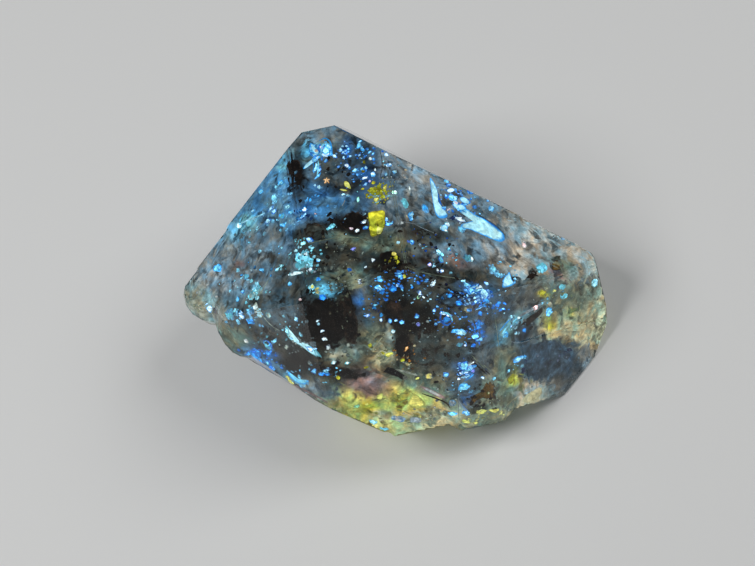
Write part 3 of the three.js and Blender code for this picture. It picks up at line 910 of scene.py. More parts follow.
# Swarms of fine drops, each (place, half-width and half-height in mm, lean, count, smallest and largest
# half-length in mm, lean of the drops, rim tint, middle tint).
SWARMS = [
    ((346, 152), 0.75, 0.42, 0, 26, 0.03, 0.07, 20, ROYAL, ICE),
    ((366, 156), 0.75, 0.6, 20, 30, 0.03, 0.08, 30, ROYAL, CYAN),
    ((362, 176), 0.8, 0.6, 30, 30, 0.03, 0.08, 40, ROYAL, CYAN),
    ((319, 152), 0.6, 0.6, 0, 34, 0.04, 0.12, 55, ROYAL, CYAN),
    ((322, 204), 1.2, 0.7, 0, 24, 0.04, 0.1, 40, BLUE_HAZE, AZURE),
    ((306, 214), 0.45, 0.4, 0, 18, 0.04, 0.1, 45, MIDNIGHT, AZURE),
    ((303, 250), 0.7, 0.5, 0, 34, 0.04, 0.12, 30, TEAL, ICE),
    ((312, 266), 0.6, 0.4, 30, 26, 0.04, 0.1, 30, TEAL, ICE),
    ((352, 222), 1.2, 0.4, 15, 22, 0.03, 0.07, 20, MIDNIGHT, ICE),
    ((388, 222), 0.3, 0.3, 0, 12, 0.04, 0.08, 25, ROYAL, CYAN),
    ((378, 194), 0.9, 0.5, 0, 26, 0.03, 0.08, 0, TEAL, PALE_TEAL),
    ((400, 176), 1.2, 1.1, -30, 40, 0.03, 0.07, 20, STEEL, PEARL),
    ((392, 160), 0.7, 0.5, -30, 20, 0.03, 0.07, 20, SLATE, CYAN),
    ((460, 204), 1.1, 0.7, -30, 60, 0.04, 0.12, -35, ROYAL, CYAN),
    ((452, 193), 0.7, 0.4, -20, 30, 0.03, 0.1, 20, ROYAL, ICE),
    ((470, 215), 0.8, 0.4, -30, 34, 0.03, 0.1, -30, MIDNIGHT, ICE),
    ((457, 219), 0.6, 0.35, -20, 26, 0.03, 0.09, -20, MIDNIGHT, WHITE_HOT),
    ((425, 240), 1.3, 0.7, -10, 30, 0.03, 0.08, 20, MIDNIGHT, ROYAL),
    ((445, 258), 1.2, 0.7, 0, 36, 0.03, 0.09, 20, NAVY, CYAN),
    ((478, 292), 0.9, 0.55, 10, 70, 0.04, 0.12, -20, ROYAL, ICE),
    ((490, 306), 0.8, 0.45, 0, 34, 0.04, 0.12, -20, ROYAL, AZURE),
    ((500, 272), 0.7, 0.5, -20, 30, 0.04, 0.12, -30, BLUE_HAZE, CYAN),
    ((508, 280), 0.4, 0.4, 0, 24, 0.04, 0.1, 40, AZURE, ICE),
    ((484, 302), 0.6, 0.3, 0, 24, 0.03, 0.09, 10, MIDNIGHT, ICE),
    ((400, 280), 1.2, 0.5, 0, 40, 0.03, 0.09, -20, ROYAL, CYAN),
    ((386, 292), 0.9, 0.5, 0, 44, 0.04, 0.1, -20, ROYAL, AZURE),
    ((373, 306), 0.5, 0.9, 0, 36, 0.03, 0.09, 0, MIDNIGHT, AZURE),
    ((420, 298), 0.8, 0.6, 0, 36, 0.03, 0.08, 30, MIDNIGHT, ICE),
    ((448, 316), 0.9, 0.6, 0, 44, 0.03, 0.1, -10, ROYAL, CYAN),
    ((462, 330), 0.8, 0.7, 0, 40, 0.03, 0.1, -20, ROYAL, CYAN),
    ((478, 330), 0.5, 0.7, 0, 34, 0.04, 0.11, 0, ROYAL, AZURE),
    ((447, 300), 0.9, 0.5, 0, 34, 0.03, 0.09, 0, MIDNIGHT, AZURE),
    ((430, 332), 0.9, 0.7, 0, 34, 0.03, 0.08, 0, SLATE, PALE_TEAL),
    ((466, 372), 0.55, 0.5, 0, 50, 0.03, 0.11, 10, ROYAL, ICE),
    ((464, 388), 0.6, 0.3, 0, 34, 0.04, 0.1, 0, BLUE_HAZE, CYAN),
    ((448, 392), 1.1, 0.7, -20, 36, 0.03, 0.08, -20, SLATE, PALE_TEAL),
    ((400, 350), 0.9, 0.8, 0, 36, 0.03, 0.08, 30, UMBER, CREAM),
    ((410, 368), 1.2, 0.5, -10, 40, 0.03, 0.09, -15, SMOKE, PALE_TEAL),
    ((345, 354), 1.0, 0.4, 0, 40, 0.03, 0.1, 0, SMOKE, PALE_TEAL),
    ((326, 372), 0.9, 0.35, -5, 36, 0.04, 0.1, 5, MIDNIGHT, CYAN),
    ((322, 335), 0.6, 0.9, 0, 28, 0.03, 0.06, 80, UMBER, OLIVE_GREY),
    ((343, 320), 0.7, 1.4, 0, 40, 0.03, 0.08, 80, UMBER, OLIVE_GREY),
    ((300, 345), 1.0, 0.8, -30, 50, 0.03, 0.1, -40, SLATE, PALE_TEAL),
    ((266, 356), 0.9, 0.5, -30, 44, 0.04, 0.1, -35, ROYAL, AZURE),
    ((268, 341), 0.8, 0.45, -30, 30, 0.04, 0.1, 40, NAVY, TEAL),
    ((247, 318), 0.9, 0.5, 0, 36, 0.04, 0.11, -20, BLUE_HAZE, CYAN),
    ((292, 322), 0.8, 0.6, 0, 30, 0.03, 0.08, 70, SLATE, CYAN),
    ((297, 380), 0.9, 0.4, -30, 34, 0.04, 0.1, -30, BLUE_HAZE, CYAN),
    ((252, 294), 0.8, 0.5, 40, 40, 0.03, 0.1, 60, TEAL, ICE),
    ((236, 284), 1.2, 0.8, 40, 40, 0.03, 0.09, 40, STEEL, CYAN),
    ((262, 268), 1.0, 0.6, 20, 30, 0.03, 0.09, 30, NAVY, AZURE),
    ((280, 216), 0.9, 1.0, 0, 44, 0.04, 0.11, 45, BLUE_HAZE, CYAN),
    ((278, 190), 0.7, 0.9, -30, 36, 0.04, 0.11, 45, BLUE_HAZE, CYAN),
    ((248, 236), 1.1, 0.6, 35, 40, 0.04, 0.11, 40, SLATE, CYAN),
    ((205, 292), 0.7, 0.6, 0, 34, 0.03, 0.08, 0, STEEL, PEARL),
    ((198, 306), 0.5, 0.35, 0, 24, 0.03, 0.07, 0, OLIVE_GREY, CREAM),
    ((290, 262), 0.8, 0.8, 0, 34, 0.03, 0.09, 20, SLATE, TEAL),
    ((510, 326), 0.6, 0.5, 35, 40, 0.04, 0.12, 35, NAVY, ICE),
    ((530, 312), 0.8, 0.5, 30, 36, 0.03, 0.09, 30, SMOKE, PALE_STEEL),
    ((548, 306), 0.6, 0.6, 0, 26, 0.03, 0.09, 0, SLATE, CYAN),
    ((550, 360), 1.2, 0.8, 0, 40, 0.03, 0.09, 20, MIDNIGHT, STEEL),
    ((520, 362), 0.6, 0.6, 20, 24, 0.03, 0.09, 25, NAVY, CYAN),
    ((500, 402), 0.8, 0.6, 0, 34, 0.03, 0.09, 0, SMOKE, PALE_TEAL),
    ((440, 415), 1.8, 0.5, -8, 20, 0.03, 0.09, 0, SLATE, PEARL),
    ((350, 244), 1.6, 0.7, -10, 40, 0.03, 0.09, 0, UMBER, OLIVE_GREY),
    ((330, 262), 1.2, 0.7, 0, 44, 0.03, 0.1, 30, SMOKE, PALE_TEAL),
    ((386, 266), 0.8, 0.6, 0, 26, 0.03, 0.08, 30, SMOKE, OLIVE_GREY),
    ((328, 290), 0.8, 0.5, 0, 40, 0.03, 0.1, 20, NAVY, CYAN),
    ((352, 278), 0.9, 0.5, 0, 30, 0.03, 0.08, 20, SMOKE, PALE_TEAL),
    ((334, 168), 0.8, 0.9, 0, 30, 0.03, 0.08, 30, SMOKE, STEEL),
    ((320, 133), 1.1, 0.35, 10, 20, 0.03, 0.07, 0, SLATE, PALE_STEEL),
]


# A drop reaches further than its bright part, by a dark rim. One that comes too near the quartz's skin is
# made smaller, or else left out. A swarm keeps a share of its count.
HALO = 1.25
FLATNESS = 0.6
SHRUNK = 0.5
TIP_MARGIN = 0.03 * MM
THINNED = 0.7
SWARM_SPREAD = 0.5
SLIMMEST, ROUNDEST = 0.35, 0.95
LEAN_SPREAD = 25
SWARM_DEPTHS = (0.1, 0.8)
BALL_SIDES, BALL_RINGS = 10, 4
LUMPS, LUMP_SCALE = 1.2, 8000.0


class Droplets:
    """Drops, kept as points with turns, sizes and tints, until Geometry Nodes put a small ball on each."""

    def __init__(self):
        self.points, self.turns, self.sizes, self.rims, self.middles = [], [], [], [], []

    def add(self, seen_at, half_length, half_width, lean, depth, rim_tint, middle_tint):
        """One drop, flat under the face at its place, with its size and lean as they are seen there."""
        face = face_at(seen_at)
        middle = inside(seen_at, depth, face)
        if middle is None:
            return
        cosine, sine = math.cos(math.radians(lean)), math.sin(math.radians(lean))
        sunk = (middle - face[0]).dot(face[1]) * -1
        longways = below((seen_at[0] + cosine, seen_at[1] - sine), face, sunk) - middle
        crossways = below((seen_at[0] + sine, seen_at[1] + cosine), face, sunk) - middle
        x_axis = longways.normalized()
        z_axis = x_axis.cross(crossways).normalized()
        turned = Matrix((x_axis, z_axis.cross(x_axis), z_axis)).transposed()
        length = HALO * half_length * MM * longways.length / PHOTO_PIXEL
        width = HALO * half_width * MM * crossways.length / PHOTO_PIXEL
        tips = [x_axis * length, -x_axis * length, turned.col[1] * width, -turned.col[1] * width]
        if min(under_skin(middle + tip) for tip in tips) < TIP_MARGIN:
            length, width = length * SHRUNK, width * SHRUNK
            if min(under_skin(middle + tip * SHRUNK) for tip in tips) < TIP_MARGIN:
                return
        self.points.append(middle)
        self.turns.append(turned.to_euler())
        self.sizes.append((length, width, min(length, width, sunk) * FLATNESS))
        self.rims.append((*rim_tint, 1))
        self.middles.append((*middle_tint, 1))

    def swarm(self, rng, seen_at, half_width, half_height, lean, count, low, high, turned,
              rim_tint, middle_tint):
        """Drops strewn at random round a place, more of them small than large."""
        cosine, sine = math.cos(math.radians(lean)), math.sin(math.radians(lean))
        for _ in range(round(count * THINNED)):
            across = rng.gauss(0, SWARM_SPREAD) * half_width * MM / PHOTO_PIXEL
            along = rng.gauss(0, SWARM_SPREAD) * half_height * MM / PHOTO_PIXEL
            length = low + (high - low) * rng.random() ** 2
            width = length * rng.uniform(SLIMMEST, ROUNDEST)
            place = (seen_at[0] + across * cosine + along * sine, seen_at[1] - across * sine + along * cosine)
            glow = rim_tint.lerp(middle_tint, rng.random() ** 1.2)
            if face_at(place):
                leaning = turned + rng.gauss(0, LEAN_SPREAD)
                self.add(place, length, width, leaning, rng.uniform(*SWARM_DEPTHS) * MM, rim_tint, glow)

    def piece(self, name, slot, material):
        """All the drops so far, as one piece."""
        mesh = bpy.data.meshes.new(name)
        mesh.from_pydata(self.points, [], [])
        for label, rows in (("turn", self.turns), ("size", self.sizes)):
            values = mesh.attributes.new(label, "FLOAT_VECTOR", "POINT")
            values.data.foreach_set("vector", [value for row in rows for value in row])
        for label, rows in (("rim", self.rims), ("middle", self.middles)):
            values = mesh.attributes.new(label, "FLOAT_COLOR", "POINT")
            values.data.foreach_set("color", [value for row in rows for value in row])
        seeds = bpy.data.objects.new(name, mesh)
        bpy.context.scene.collection.objects.link(seeds)
        modifier = seeds.modifiers.new("droplets", "NODES")
        modifier.node_group = droplet_tree
        modifier[droplet_inputs["Sides"]] = BALL_SIDES
        modifier[droplet_inputs["Rings"]] = BALL_RINGS
        modifier[droplet_inputs["Lumps"]] = LUMPS
        modifier[droplet_inputs["Lump Scale"]] = LUMP_SCALE
        modifier[droplet_inputs["Finish"]] = material
        grown = bpy.data.meshes.new_from_object(seeds.evaluated_get(bpy.context.evaluated_depsgraph_get()))
        bpy.data.objects.remove(seeds)
        return add_piece(name, grown, material)


def droplet_nodes():
    """Geometry Nodes: a small ball at each point, turned, stretched and tinted by what the point carries."""
    tree = bpy.data.node_groups.new("droplets", "GeometryNodeTree")
    nodes, links = tree.nodes, tree.links
    identifiers = {}
    for name, kind in (
        ("Points", "NodeSocketGeometry"),
        ("Sides", "NodeSocketInt"),
        ("Rings", "NodeSocketInt"),
        ("Lumps", "NodeSocketFloat"),
        ("Lump Scale", "NodeSocketFloat"),
        ("Finish", "NodeSocketMaterial"),
    ):
        identifiers[name] = tree.interface.new_socket(name, in_out="INPUT", socket_type=kind).identifier
    tree.interface.new_socket("Drops", in_out="OUTPUT", socket_type="NodeSocketGeometry")
    given = nodes.new("NodeGroupInput")
    result = nodes.new("NodeGroupOutput")

    def carried(name):
        node = nodes.new("GeometryNodeInputNamedAttribute")
        node.data_type = "FLOAT_VECTOR"
        node.inputs["Name"].default_value = name
        return node.outputs["Attribute"]

    ball = nodes.new("GeometryNodeMeshUVSphere")
    links.new(given.outputs["Sides"], ball.inputs["Segments"])
    links.new(given.outputs["Rings"], ball.inputs["Rings"])
    here = nodes.new("GeometryNodeInputPosition")
    split = nodes.new("ShaderNodeSeparateXYZ")
    links.new(here.outputs["Position"], split.inputs["Vector"])
    height = nodes.new("ShaderNodeMath")
    height.operation = "ABSOLUTE"
    links.new(split.outputs["Z"], height.inputs[0])
    marked = nodes.new("GeometryNodeStoreNamedAttribute")
    marked.data_type = "FLOAT"
    marked.domain = "POINT"
    marked.inputs["Name"].default_value = "core"
    links.new(ball.outputs["Mesh"], marked.inputs["Geometry"])
    links.new(height.outputs["Value"], marked.inputs["Value"])
    placed = nodes.new("GeometryNodeInstanceOnPoints")
    turned = nodes.new("FunctionNodeEulerToRotation")
    links.new(carried("turn"), turned.inputs["Euler"])
    links.new(given.outputs["Points"], placed.inputs["Points"])
    links.new(marked.outputs["Geometry"], placed.inputs["Instance"])
    links.new(turned.outputs["Rotation"], placed.inputs["Rotation"])
    links.new(carried("size"), placed.inputs["Scale"])
    real = nodes.new("GeometryNodeRealizeInstances")
    links.new(placed.outputs["Instances"], real.inputs["Geometry"])
    bumps = nodes.new("ShaderNodeTexNoise")
    bumps.inputs["Detail"].default_value = 1
    links.new(given.outputs["Lump Scale"], bumps.inputs["Scale"])
    centred = nodes.new("ShaderNodeVectorMath")
    centred.operation = "SUBTRACT"
    centred.inputs[1].default_value = (0.5, 0.5, 0.5)
    links.new(bumps.outputs["Color"], centred.inputs[0])
    sized = nodes.new("ShaderNodeVectorMath")
    sized.operation = "LENGTH"
    links.new(carried("size"), sized.inputs[0])
    amount = nodes.new("ShaderNodeMath")
    amount.operation = "MULTIPLY"
    links.new(sized.outputs["Value"], amount.inputs[0])
    links.new(given.outputs["Lumps"], amount.inputs[1])
    push = nodes.new("ShaderNodeVectorMath")
    push.operation = "SCALE"
    links.new(centred.outputs["Vector"], push.inputs[0])
    links.new(amount.outputs["Value"], push.inputs["Scale"])
    moved = nodes.new("GeometryNodeSetPosition")
    links.new(real.outputs["Geometry"], moved.inputs["Geometry"])
    links.new(push.outputs["Vector"], moved.inputs["Offset"])
    soft = nodes.new("GeometryNodeSetShadeSmooth")
    links.new(moved.outputs["Geometry"], soft.inputs["Geometry"])
    finished = nodes.new("GeometryNodeSetMaterial")
    links.new(soft.outputs["Geometry"], finished.inputs["Geometry"])
    links.new(given.outputs["Finish"], finished.inputs["Material"])
    links.new(finished.outputs["Geometry"], result.inputs["Drops"])
    return tree, identifiers


droplet_tree, droplet_inputs = droplet_nodes()


# In a glowing piece, the core value goes from 0 at the rim to 1 in the middle. The tint changes between
# its two TINT_SHARES, and the piece fades in between its two FADE_SHARES.
OIL_DRIFT = 0.25
TINT_SHARES = (0.55, 0.9)
FADE_SHARES = (0.1, 0.6)


def glow_material(name, strength, grain, contrast, fray):
    """Oil, glowing as painted light: one tint at the rim and another in the middle, with a border frayed by
    noise.
    """
    material, tree, shader, clouds = painted_glow_material(name, strength, grain, contrast, OIL_DRIFT, 0)
    nodes, links = tree.nodes, tree.links
    read = {}
    for label in ("rim", "middle", "core"):
        node = nodes.new("ShaderNodeAttribute")
        node.attribute_name = label
        read[label] = node.outputs["Fac" if label == "core" else "Color"]
    ramp = nodes.new("ShaderNodeMapRange")
    ramp.interpolation_type = "SMOOTHSTEP"
    ramp.inputs["From Min"].default_value, ramp.inputs["From Max"].default_value = TINT_SHARES
    blend = nodes.new("ShaderNodeMix")
    blend.data_type = "RGBA"
    links.new(ramp.outputs["Result"], blend.inputs["Factor"])
    links.new(read["rim"], blend.inputs["A"])
    links.new(read["middle"], blend.inputs["B"])
    links.new(blend.outputs["Result"], clouds.inputs["Tint"])
    place = nodes.new("ShaderNodeTexCoord")
    threads = nodes.new("ShaderNodeTexNoise")
    threads.inputs["Scale"].default_value = grain * 0.6
    threads.inputs["Detail"].default_value = 4
    threads.inputs["Distortion"].default_value = 0.7
    links.new(place.outputs["Object"], threads.inputs["Vector"])
    torn = nodes.new("ShaderNodeMath")
    torn.operation = "MULTIPLY_ADD"
    torn.inputs[1].default_value = fray
    torn.inputs[2].default_value = -0.5 * fray
    links.new(threads.outputs["Fac"], torn.inputs[0])
    filled = nodes.new("ShaderNodeMath")
    filled.operation = "ADD"
    links.new(read["core"], filled.inputs[0])
    links.new(torn.outputs["Value"], filled.inputs[1])
    links.new(filled.outputs["Value"], ramp.inputs["Value"])
    edge = nodes.new("ShaderNodeMapRange")
    edge.interpolation_type = "SMOOTHSTEP"
    edge.inputs["From Min"].default_value, edge.inputs["From Max"].default_value = FADE_SHARES
    links.new(filled.outputs["Value"], edge.inputs["Value"])
    links.new(edge.outputs["Result"], shader.inputs["Alpha"])
    return material


blue_petroleum = glow_material("blue_petroleum", strength=1.3, grain=6500, contrast=0.8, fray=1.6)
drops = Droplets()
DEPTHS = (0.15, 0.22, 0.3)
BLUE_SEED, YELLOW_SEED, TAR_SEED = 11, 12, 13
for count, (seen_at, half_length, half_width, lean, rim_tint, middle_tint) in enumerate(DROPS):
    depth = DEPTHS[count % len(DEPTHS)] * MM
    drops.add(seen_at, half_length, half_width, lean, depth, rim_tint, middle_tint)
rng = random.Random(BLUE_SEED)
for row in SWARMS:
    drops.swarm(rng, *row)
drops.piece("petroleum_drops", "petroleum", blue_petroleum)


# Films of blue petroleum: flat pools between two walls of a crack, with corners of their own. The first two
# are navy sheets that paint a deep blue shadow beside the films they lie behind. Each is a depth in mm, a
# softness of the border, an outline in the photograph, a rim tint and a middle tint.
SKY = linear(172, 228, 240)
FILMS = [
    # Painted shadow: a navy sheet behind the long blade film further down the list.
    (0.3, 0.5, [(434, 184), (438, 190), (441, 202), (444, 209), (440, 208), (437, 198)], NAVY, ROYAL),
    # Painted shadow: a navy sheet behind the wide wedge film that follows.
    (0.3, 0.6, [(470, 209), (484, 216), (497, 224), (506, 233), (508.5, 241), (502, 243), (490, 232),
                (478, 221)], NAVY, ROYAL),
    (0.2, 0.1, [(457, 211), (462, 207.5), (468, 209), (474, 213.5), (484, 218.5), (495, 226), (503.5, 233),
                (507, 239), (502, 243.5), (491, 239), (477, 233), (469, 229), (461, 229), (459.5, 225),
                (467, 222), (474, 220.5), (468, 215)], AZURE, SKY),
    (0.15, 0.15, [(446, 190.5), (449, 188), (453, 187.5), (456, 190), (452, 192.5),
                  (448, 193)], AZURE, WHITE_HOT),
    (0.15, 0.15, [(456.5, 190), (460, 188.5), (464, 187), (466, 189), (461, 192.5),
                  (457, 193)], AZURE, WHITE_HOT),
    (0.15, 0.2, [(448, 195), (453, 194.5), (458, 198), (456, 202), (450, 199.5)], AZURE, ICE),
    (0.15, 0.2, [(459, 197), (464, 196.5), (469, 200), (471, 205), (465, 204), (460, 201)], AZURE, ICE),
    (0.15, 0.2, [(451, 203), (457, 205), (463, 204), (468, 209), (461, 211), (454, 208)], AZURE, SKY),
    (0.13, 0.2, [(453, 216), (458, 217), (463, 216.5), (461, 219), (467.5, 222), (461, 222),
                 (456, 219.5)], ROYAL, WHITE_HOT),
    (0.15, 0.2, [(440, 228), (444, 223.5), (448.5, 226), (447, 231), (442, 231.5)], AZURE, ICE),
    (0.15, 0.15, [(302, 170), (305, 164.5), (311, 160), (316, 155.5), (318.5, 158), (313, 163),
                  (306, 168.5)], AZURE, ICE),
    (0.15, 0.3, [(309, 142), (313, 143), (316, 149), (320, 152), (319, 156), (314, 154),
                 (311, 149)], AZURE, ICE),
    (0.2, 0.9, [(414, 383), (425, 386), (438, 392), (448, 398), (446, 401), (434, 396),
                (422, 389)], ROSE, PEARL),
    (0.25, 0.6, [(520, 404), (524, 396), (533, 390), (542, 385), (544, 390), (541, 397),
                 (531, 404)], CREAM, CREAM),
    (0.23, 0.1, [(429, 177), (431, 177), (435, 184), (438, 192), (438, 204), (441, 212), (447, 213),
                 (448.5, 218), (442, 219.5), (436, 217), (433, 205), (431, 190)], AZURE, SKY),
    (0.23, 0.3, [(288, 272.5), (296, 270.5), (303, 271.5), (303.5, 273.5), (296, 275),
                 (289, 277)], TEAL, WHITE_HOT),
    (0.32, 0.5, [(293, 262), (302, 258), (310, 260), (308, 268), (297, 272), (291, 268)], STEEL, TEAL),
    (0.27, 0.2, [(284, 325), (286.5, 325), (288.5, 334), (295, 339.5), (303, 342.5), (310, 345),
                 (316, 351), (322, 360), (316, 357), (309, 352.5), (301, 346), (292, 341.5),
                 (286, 336)], TEAL, SKY),
    (0.27, 0.4, [(285, 371), (290, 372), (296, 378), (306, 382), (311, 380), (308, 386), (298, 384),
                 (290, 378)], AZURE, CYAN),
    (0.23, 0.3, [(501, 289), (502.5, 281), (504, 277), (507, 274), (509.6, 270), (511, 275), (512, 280),
                 (516, 284), (510, 287.5)], AZURE, ICE),
    (0.23, 0.3, [(535, 267.5), (538, 264.5), (542, 264.5), (544.5, 268), (544, 273.5), (541.5, 274),
                 (541, 269.5), (538, 269)], TEAL, CYAN),
    (0.23, 0.25, [(320, 286.5), (326, 285), (329, 289), (326, 292.5), (321, 292)], AZURE, SKY),
    (0.23, 0.3, [(453, 331), (458, 329.5), (464.5, 328.5), (464, 333), (462.8, 337), (459, 334)], AZURE, ICE),
    (0.20, 0.2, [(460.5, 362), (464, 362.5), (466.5, 366.5), (463.5, 368), (460, 366.5)], ROYAL, CYAN),
    (0.20, 0.2, [(431, 284), (434, 280.5), (437, 281.5), (434.5, 285)], MIDNIGHT, WHITE_HOT),
]


class Lenses:
    """Closed flat bodies on outlines, gathered into one mesh, thick in the middle and sharp at the rim."""

    def __init__(self):
        self.points, self.faces, self.rims, self.middles, self.cores = [], [], [], [], []

    def lens(self, outline, depth, border, rim_tint, middle_tint):
        """A thin lens with that outline: five rings, the two in the middle closed by a point each."""
        count = len(outline)
        middle = (sum(x for x, _ in outline) / count, sum(y for _, y in outline) / count)
        girth = min(math.dist(place, middle) for place in outline) * PHOTO_PIXEL
        face = face_at(middle)
        rings = []
        shoulder = 1 - 0.45 * border - 0.04
        top = 0.75 - 0.5 * border
        for share, lift, core in (
            (1, 0, 0.0),
            (shoulder, 0.25, 0.55),
            (shoulder, -0.25, 0.55),
            (top, 0.35, 1.0),
            (top, -0.35, 1.0),
        ):
            spots = []
            for x, y in outline:
                place = (middle[0] + (x - middle[0]) * share, middle[1] + (y - middle[1]) * share)
                spots.append(inside(place, depth - girth * lift, face))
            if None in spots:
                return
            rings.append(range(len(self.points), len(self.points) + count))
            self.points += spots
            self.cores += [core] * count
        rim, upper, lower, upper_top, lower_top = rings
        ends = []
        for lift in (0.4, -0.4):
            ends.append(len(self.points))
            self.points.append(inside(middle, depth - girth * lift, face))
            self.cores.append(1.0)
        self.rims += [(*rim_tint, 1)] * (5 * count + 2)
        self.middles += [(*middle_tint, 1)] * (5 * count + 2)
        for i in range(count):
            j = (i + 1) % count
            self.faces += [(rim[j], rim[i], upper[i], upper[j])]
            self.faces += [(upper[j], upper[i], upper_top[i], upper_top[j])]
            self.faces += [(upper_top[j], upper_top[i], ends[0]), (lower_top[i], lower_top[j], ends[1])]
            self.faces += [(rim[i], rim[j], lower[j], lower[i])]
            self.faces += [(lower[i], lower[j], lower_top[j], lower_top[i])]

    def piece(self, name, slot, material):
        """All the lenses so far, as one piece."""
        mesh = bpy.data.meshes.new(name)
        mesh.from_pydata(self.points, [], self.faces)
        for label, rows in (("rim", self.rims), ("middle", self.middles)):
            values = mesh.attributes.new(label, "FLOAT_COLOR", "POINT")
            values.data.foreach_set("color", [value for row in rows for value in row])
        cores = mesh.attributes.new("core", "FLOAT", "POINT")
        cores.data.foreach_set("value", self.cores)
        faces = bmesh.new()
        faces.from_mesh(mesh)
        bmesh.ops.recalc_face_normals(faces, faces=faces.faces)
        faces.to_mesh(mesh)
        faces.free()
        for polygon in mesh.polygons:
            polygon.use_smooth = True
        return add_piece(name, mesh, material)


def quarter_points(start, end):
    """The points a quarter and three quarters of the way along a line."""
    (ax, ay), (bx, by) = start, end
    return [(ax * 0.75 + bx * 0.25, ay * 0.75 + by * 0.25), (ax * 0.25 + bx * 0.75, ay * 0.25 + by * 0.75)]


def rounded(outline, cuts=2):
    """An outline with its corners cut, so that it reads as a curve."""
    for _ in range(cuts):
        cut = []
        for start, end in zip(outline, outline[1:] + outline[:1]):
            cut += quarter_points(start, end)
        outline = cut
    return outline


pools = Lenses()
for depth, border, outline, rim_tint, middle_tint in FILMS:
    pools.lens(rounded(outline), depth * MM, border, rim_tint, middle_tint)
blue_films = glow_material("blue_films", strength=1.15, grain=4600, contrast=0.45, fray=0.7)
pools.piece("petroleum_films", "petroleum", blue_films)


# Yellow petroleum: lighter oil in thin flat flakes and blots that glow yellow, and one small orange star.
# The glow is painted light, emission in place of fluorescence under ultraviolet light.
LEMON = linear(188, 194, 52)
PALE_LEMON = linear(226, 226, 120)
MUSTARD = linear(130, 128, 24)
OLIVE = linear(70, 72, 20)
ORANGE = linear(244, 200, 150)
AMBER = linear(200, 130, 20)

# Blots. Each is a place in the photograph, a half-length and a half-width in mm, a lean in degrees, a rim
# tint and a middle tint.
YELLOW_DROPS = [
    ((371, 190), 0.11, 0.08, 30, MUSTARD, LEMON),
    ((379, 186), 0.12, 0.08, 40, MUSTARD, LEMON),
    ((384.8, 187.3), 0.08, 0.11, 0, MUSTARD, PALE_LEMON),
    ((381, 191), 0.08, 0.07, 0, OLIVE, LEMON),
    ((372.6, 193.4), 0.07, 0.06, 0, MUSTARD, LEMON),
    ((377, 194), 0.07, 0.07, 0, TEAL, ICE),
    ((376, 199.6), 0.10, 0.07, 30, MUSTARD, PALE_LEMON),
    ((382.5, 196.5), 0.09, 0.08, 0, MUSTARD, LEMON),
    ((386, 193), 0.06, 0.09, 0, OLIVE, LEMON),
    ((367, 195), 0.08, 0.07, 0, OLIVE, MUSTARD),
    ((364, 162), 0.08, 0.07, 0, OLIVE, MUSTARD),
    ((363, 171), 0.07, 0.06, 0, OLIVE, MUSTARD),
    ((394, 254), 0.08, 0.10, 20, MUSTARD, PALE_LEMON),
    ((396, 257.5), 0.06, 0.11, 20, MUSTARD, LEMON),
    ((398, 262), 0.05, 0.11, -10, OLIVE, LEMON),
    ((404.4, 276.4), 0.07, 0.06, 0, LEMON, PALE_LEMON),
    ((312, 286.6), 0.08, 0.06, 0, CREAM, PALE_LEMON),
    ((317, 289.4), 0.09, 0.08, 0, CREAM, PALE_LEMON),
    ((389, 354.6), 0.17, 0.06, 10, LEMON, PALE_LEMON),
    ((383, 353), 0.08, 0.06, 0, MUSTARD, LEMON),
    ((370, 345.5), 0.09, 0.07, 0, MUSTARD, LEMON),
    ((406.4, 348.8), 0.12, 0.05, 55, AMBER, ORANGE),
    ((402.3, 360.4), 0.10, 0.05, 30, MUSTARD, LEMON),
    ((408, 364.6), 0.08, 0.07, 0, MUSTARD, CREAM),
    ((417.6, 378.2), 0.09, 0.06, 0, MUSTARD, PALE_LEMON),
    ((428.8, 376.2), 0.14, 0.12, 0, CREAM, PALE_LEMON),
    ((467, 309.8), 0.10, 0.14, 30, OLIVE_GREY, CREAM),
    ((380, 397), 0.15, 0.11, 0, YELLOW_GLOW, PALE_LEMON),
    ((465.7, 421.3), 0.17, 0.07, -10, YELLOW_GLOW, PALE_LEMON),
    ((476.4, 423), 0.10, 0.05, 0, YELLOW_GLOW, PALE_LEMON),
    ((482, 411.6), 0.26, 0.07, 4, YELLOW_GLOW, PALE_LEMON),
    ((494, 410.6), 0.19, 0.07, 4, YELLOW_GLOW, PALE_LEMON),
    ((495.5, 408.8), 0.07, 0.06, 0, PITCH, PITCH),
    ((511.3, 379), 0.13, 0.21, 0, MUSTARD, LEMON),
    ((512.6, 377), 0.07, 0.11, 0, LEMON, PALE_LEMON),
    ((542.7, 293), 0.14, 0.09, 0, MUSTARD, LEMON),
    ((546.3, 288.5), 0.07, 0.06, 0, OLIVE_GREY, CREAM),
    ((554.3, 290.7), 0.08, 0.06, 0, OLIVE_GREY, PALE_LEMON),
    ((549.4, 304), 0.08, 0.08, 0, ROSE, CREAM),
    ((285, 379.4), 0.14, 0.06, -35, YELLOW_GLOW, ORANGE),
    ((290, 382.6), 0.11, 0.05, -30, YELLOW_GLOW, PALE_LEMON),
    ((338, 377.7), 0.09, 0.07, 0, MUSTARD, LEMON),
    ((488, 393), 0.07, 0.08, 0, OLIVE, CREAM),
    ((366, 367), 0.11, 0.05, 0, OLIVE, MUSTARD),
]
STAR = (326.7, 180.4)
STAR_ARMS = (18, 90, 162, 234, 306)
STAR_REACH = 1.7
ARM_HALF_LENGTH = 0.08
ARM_HALF_WIDTH = 0.04
STAR_DEPTH = 0.3 * MM
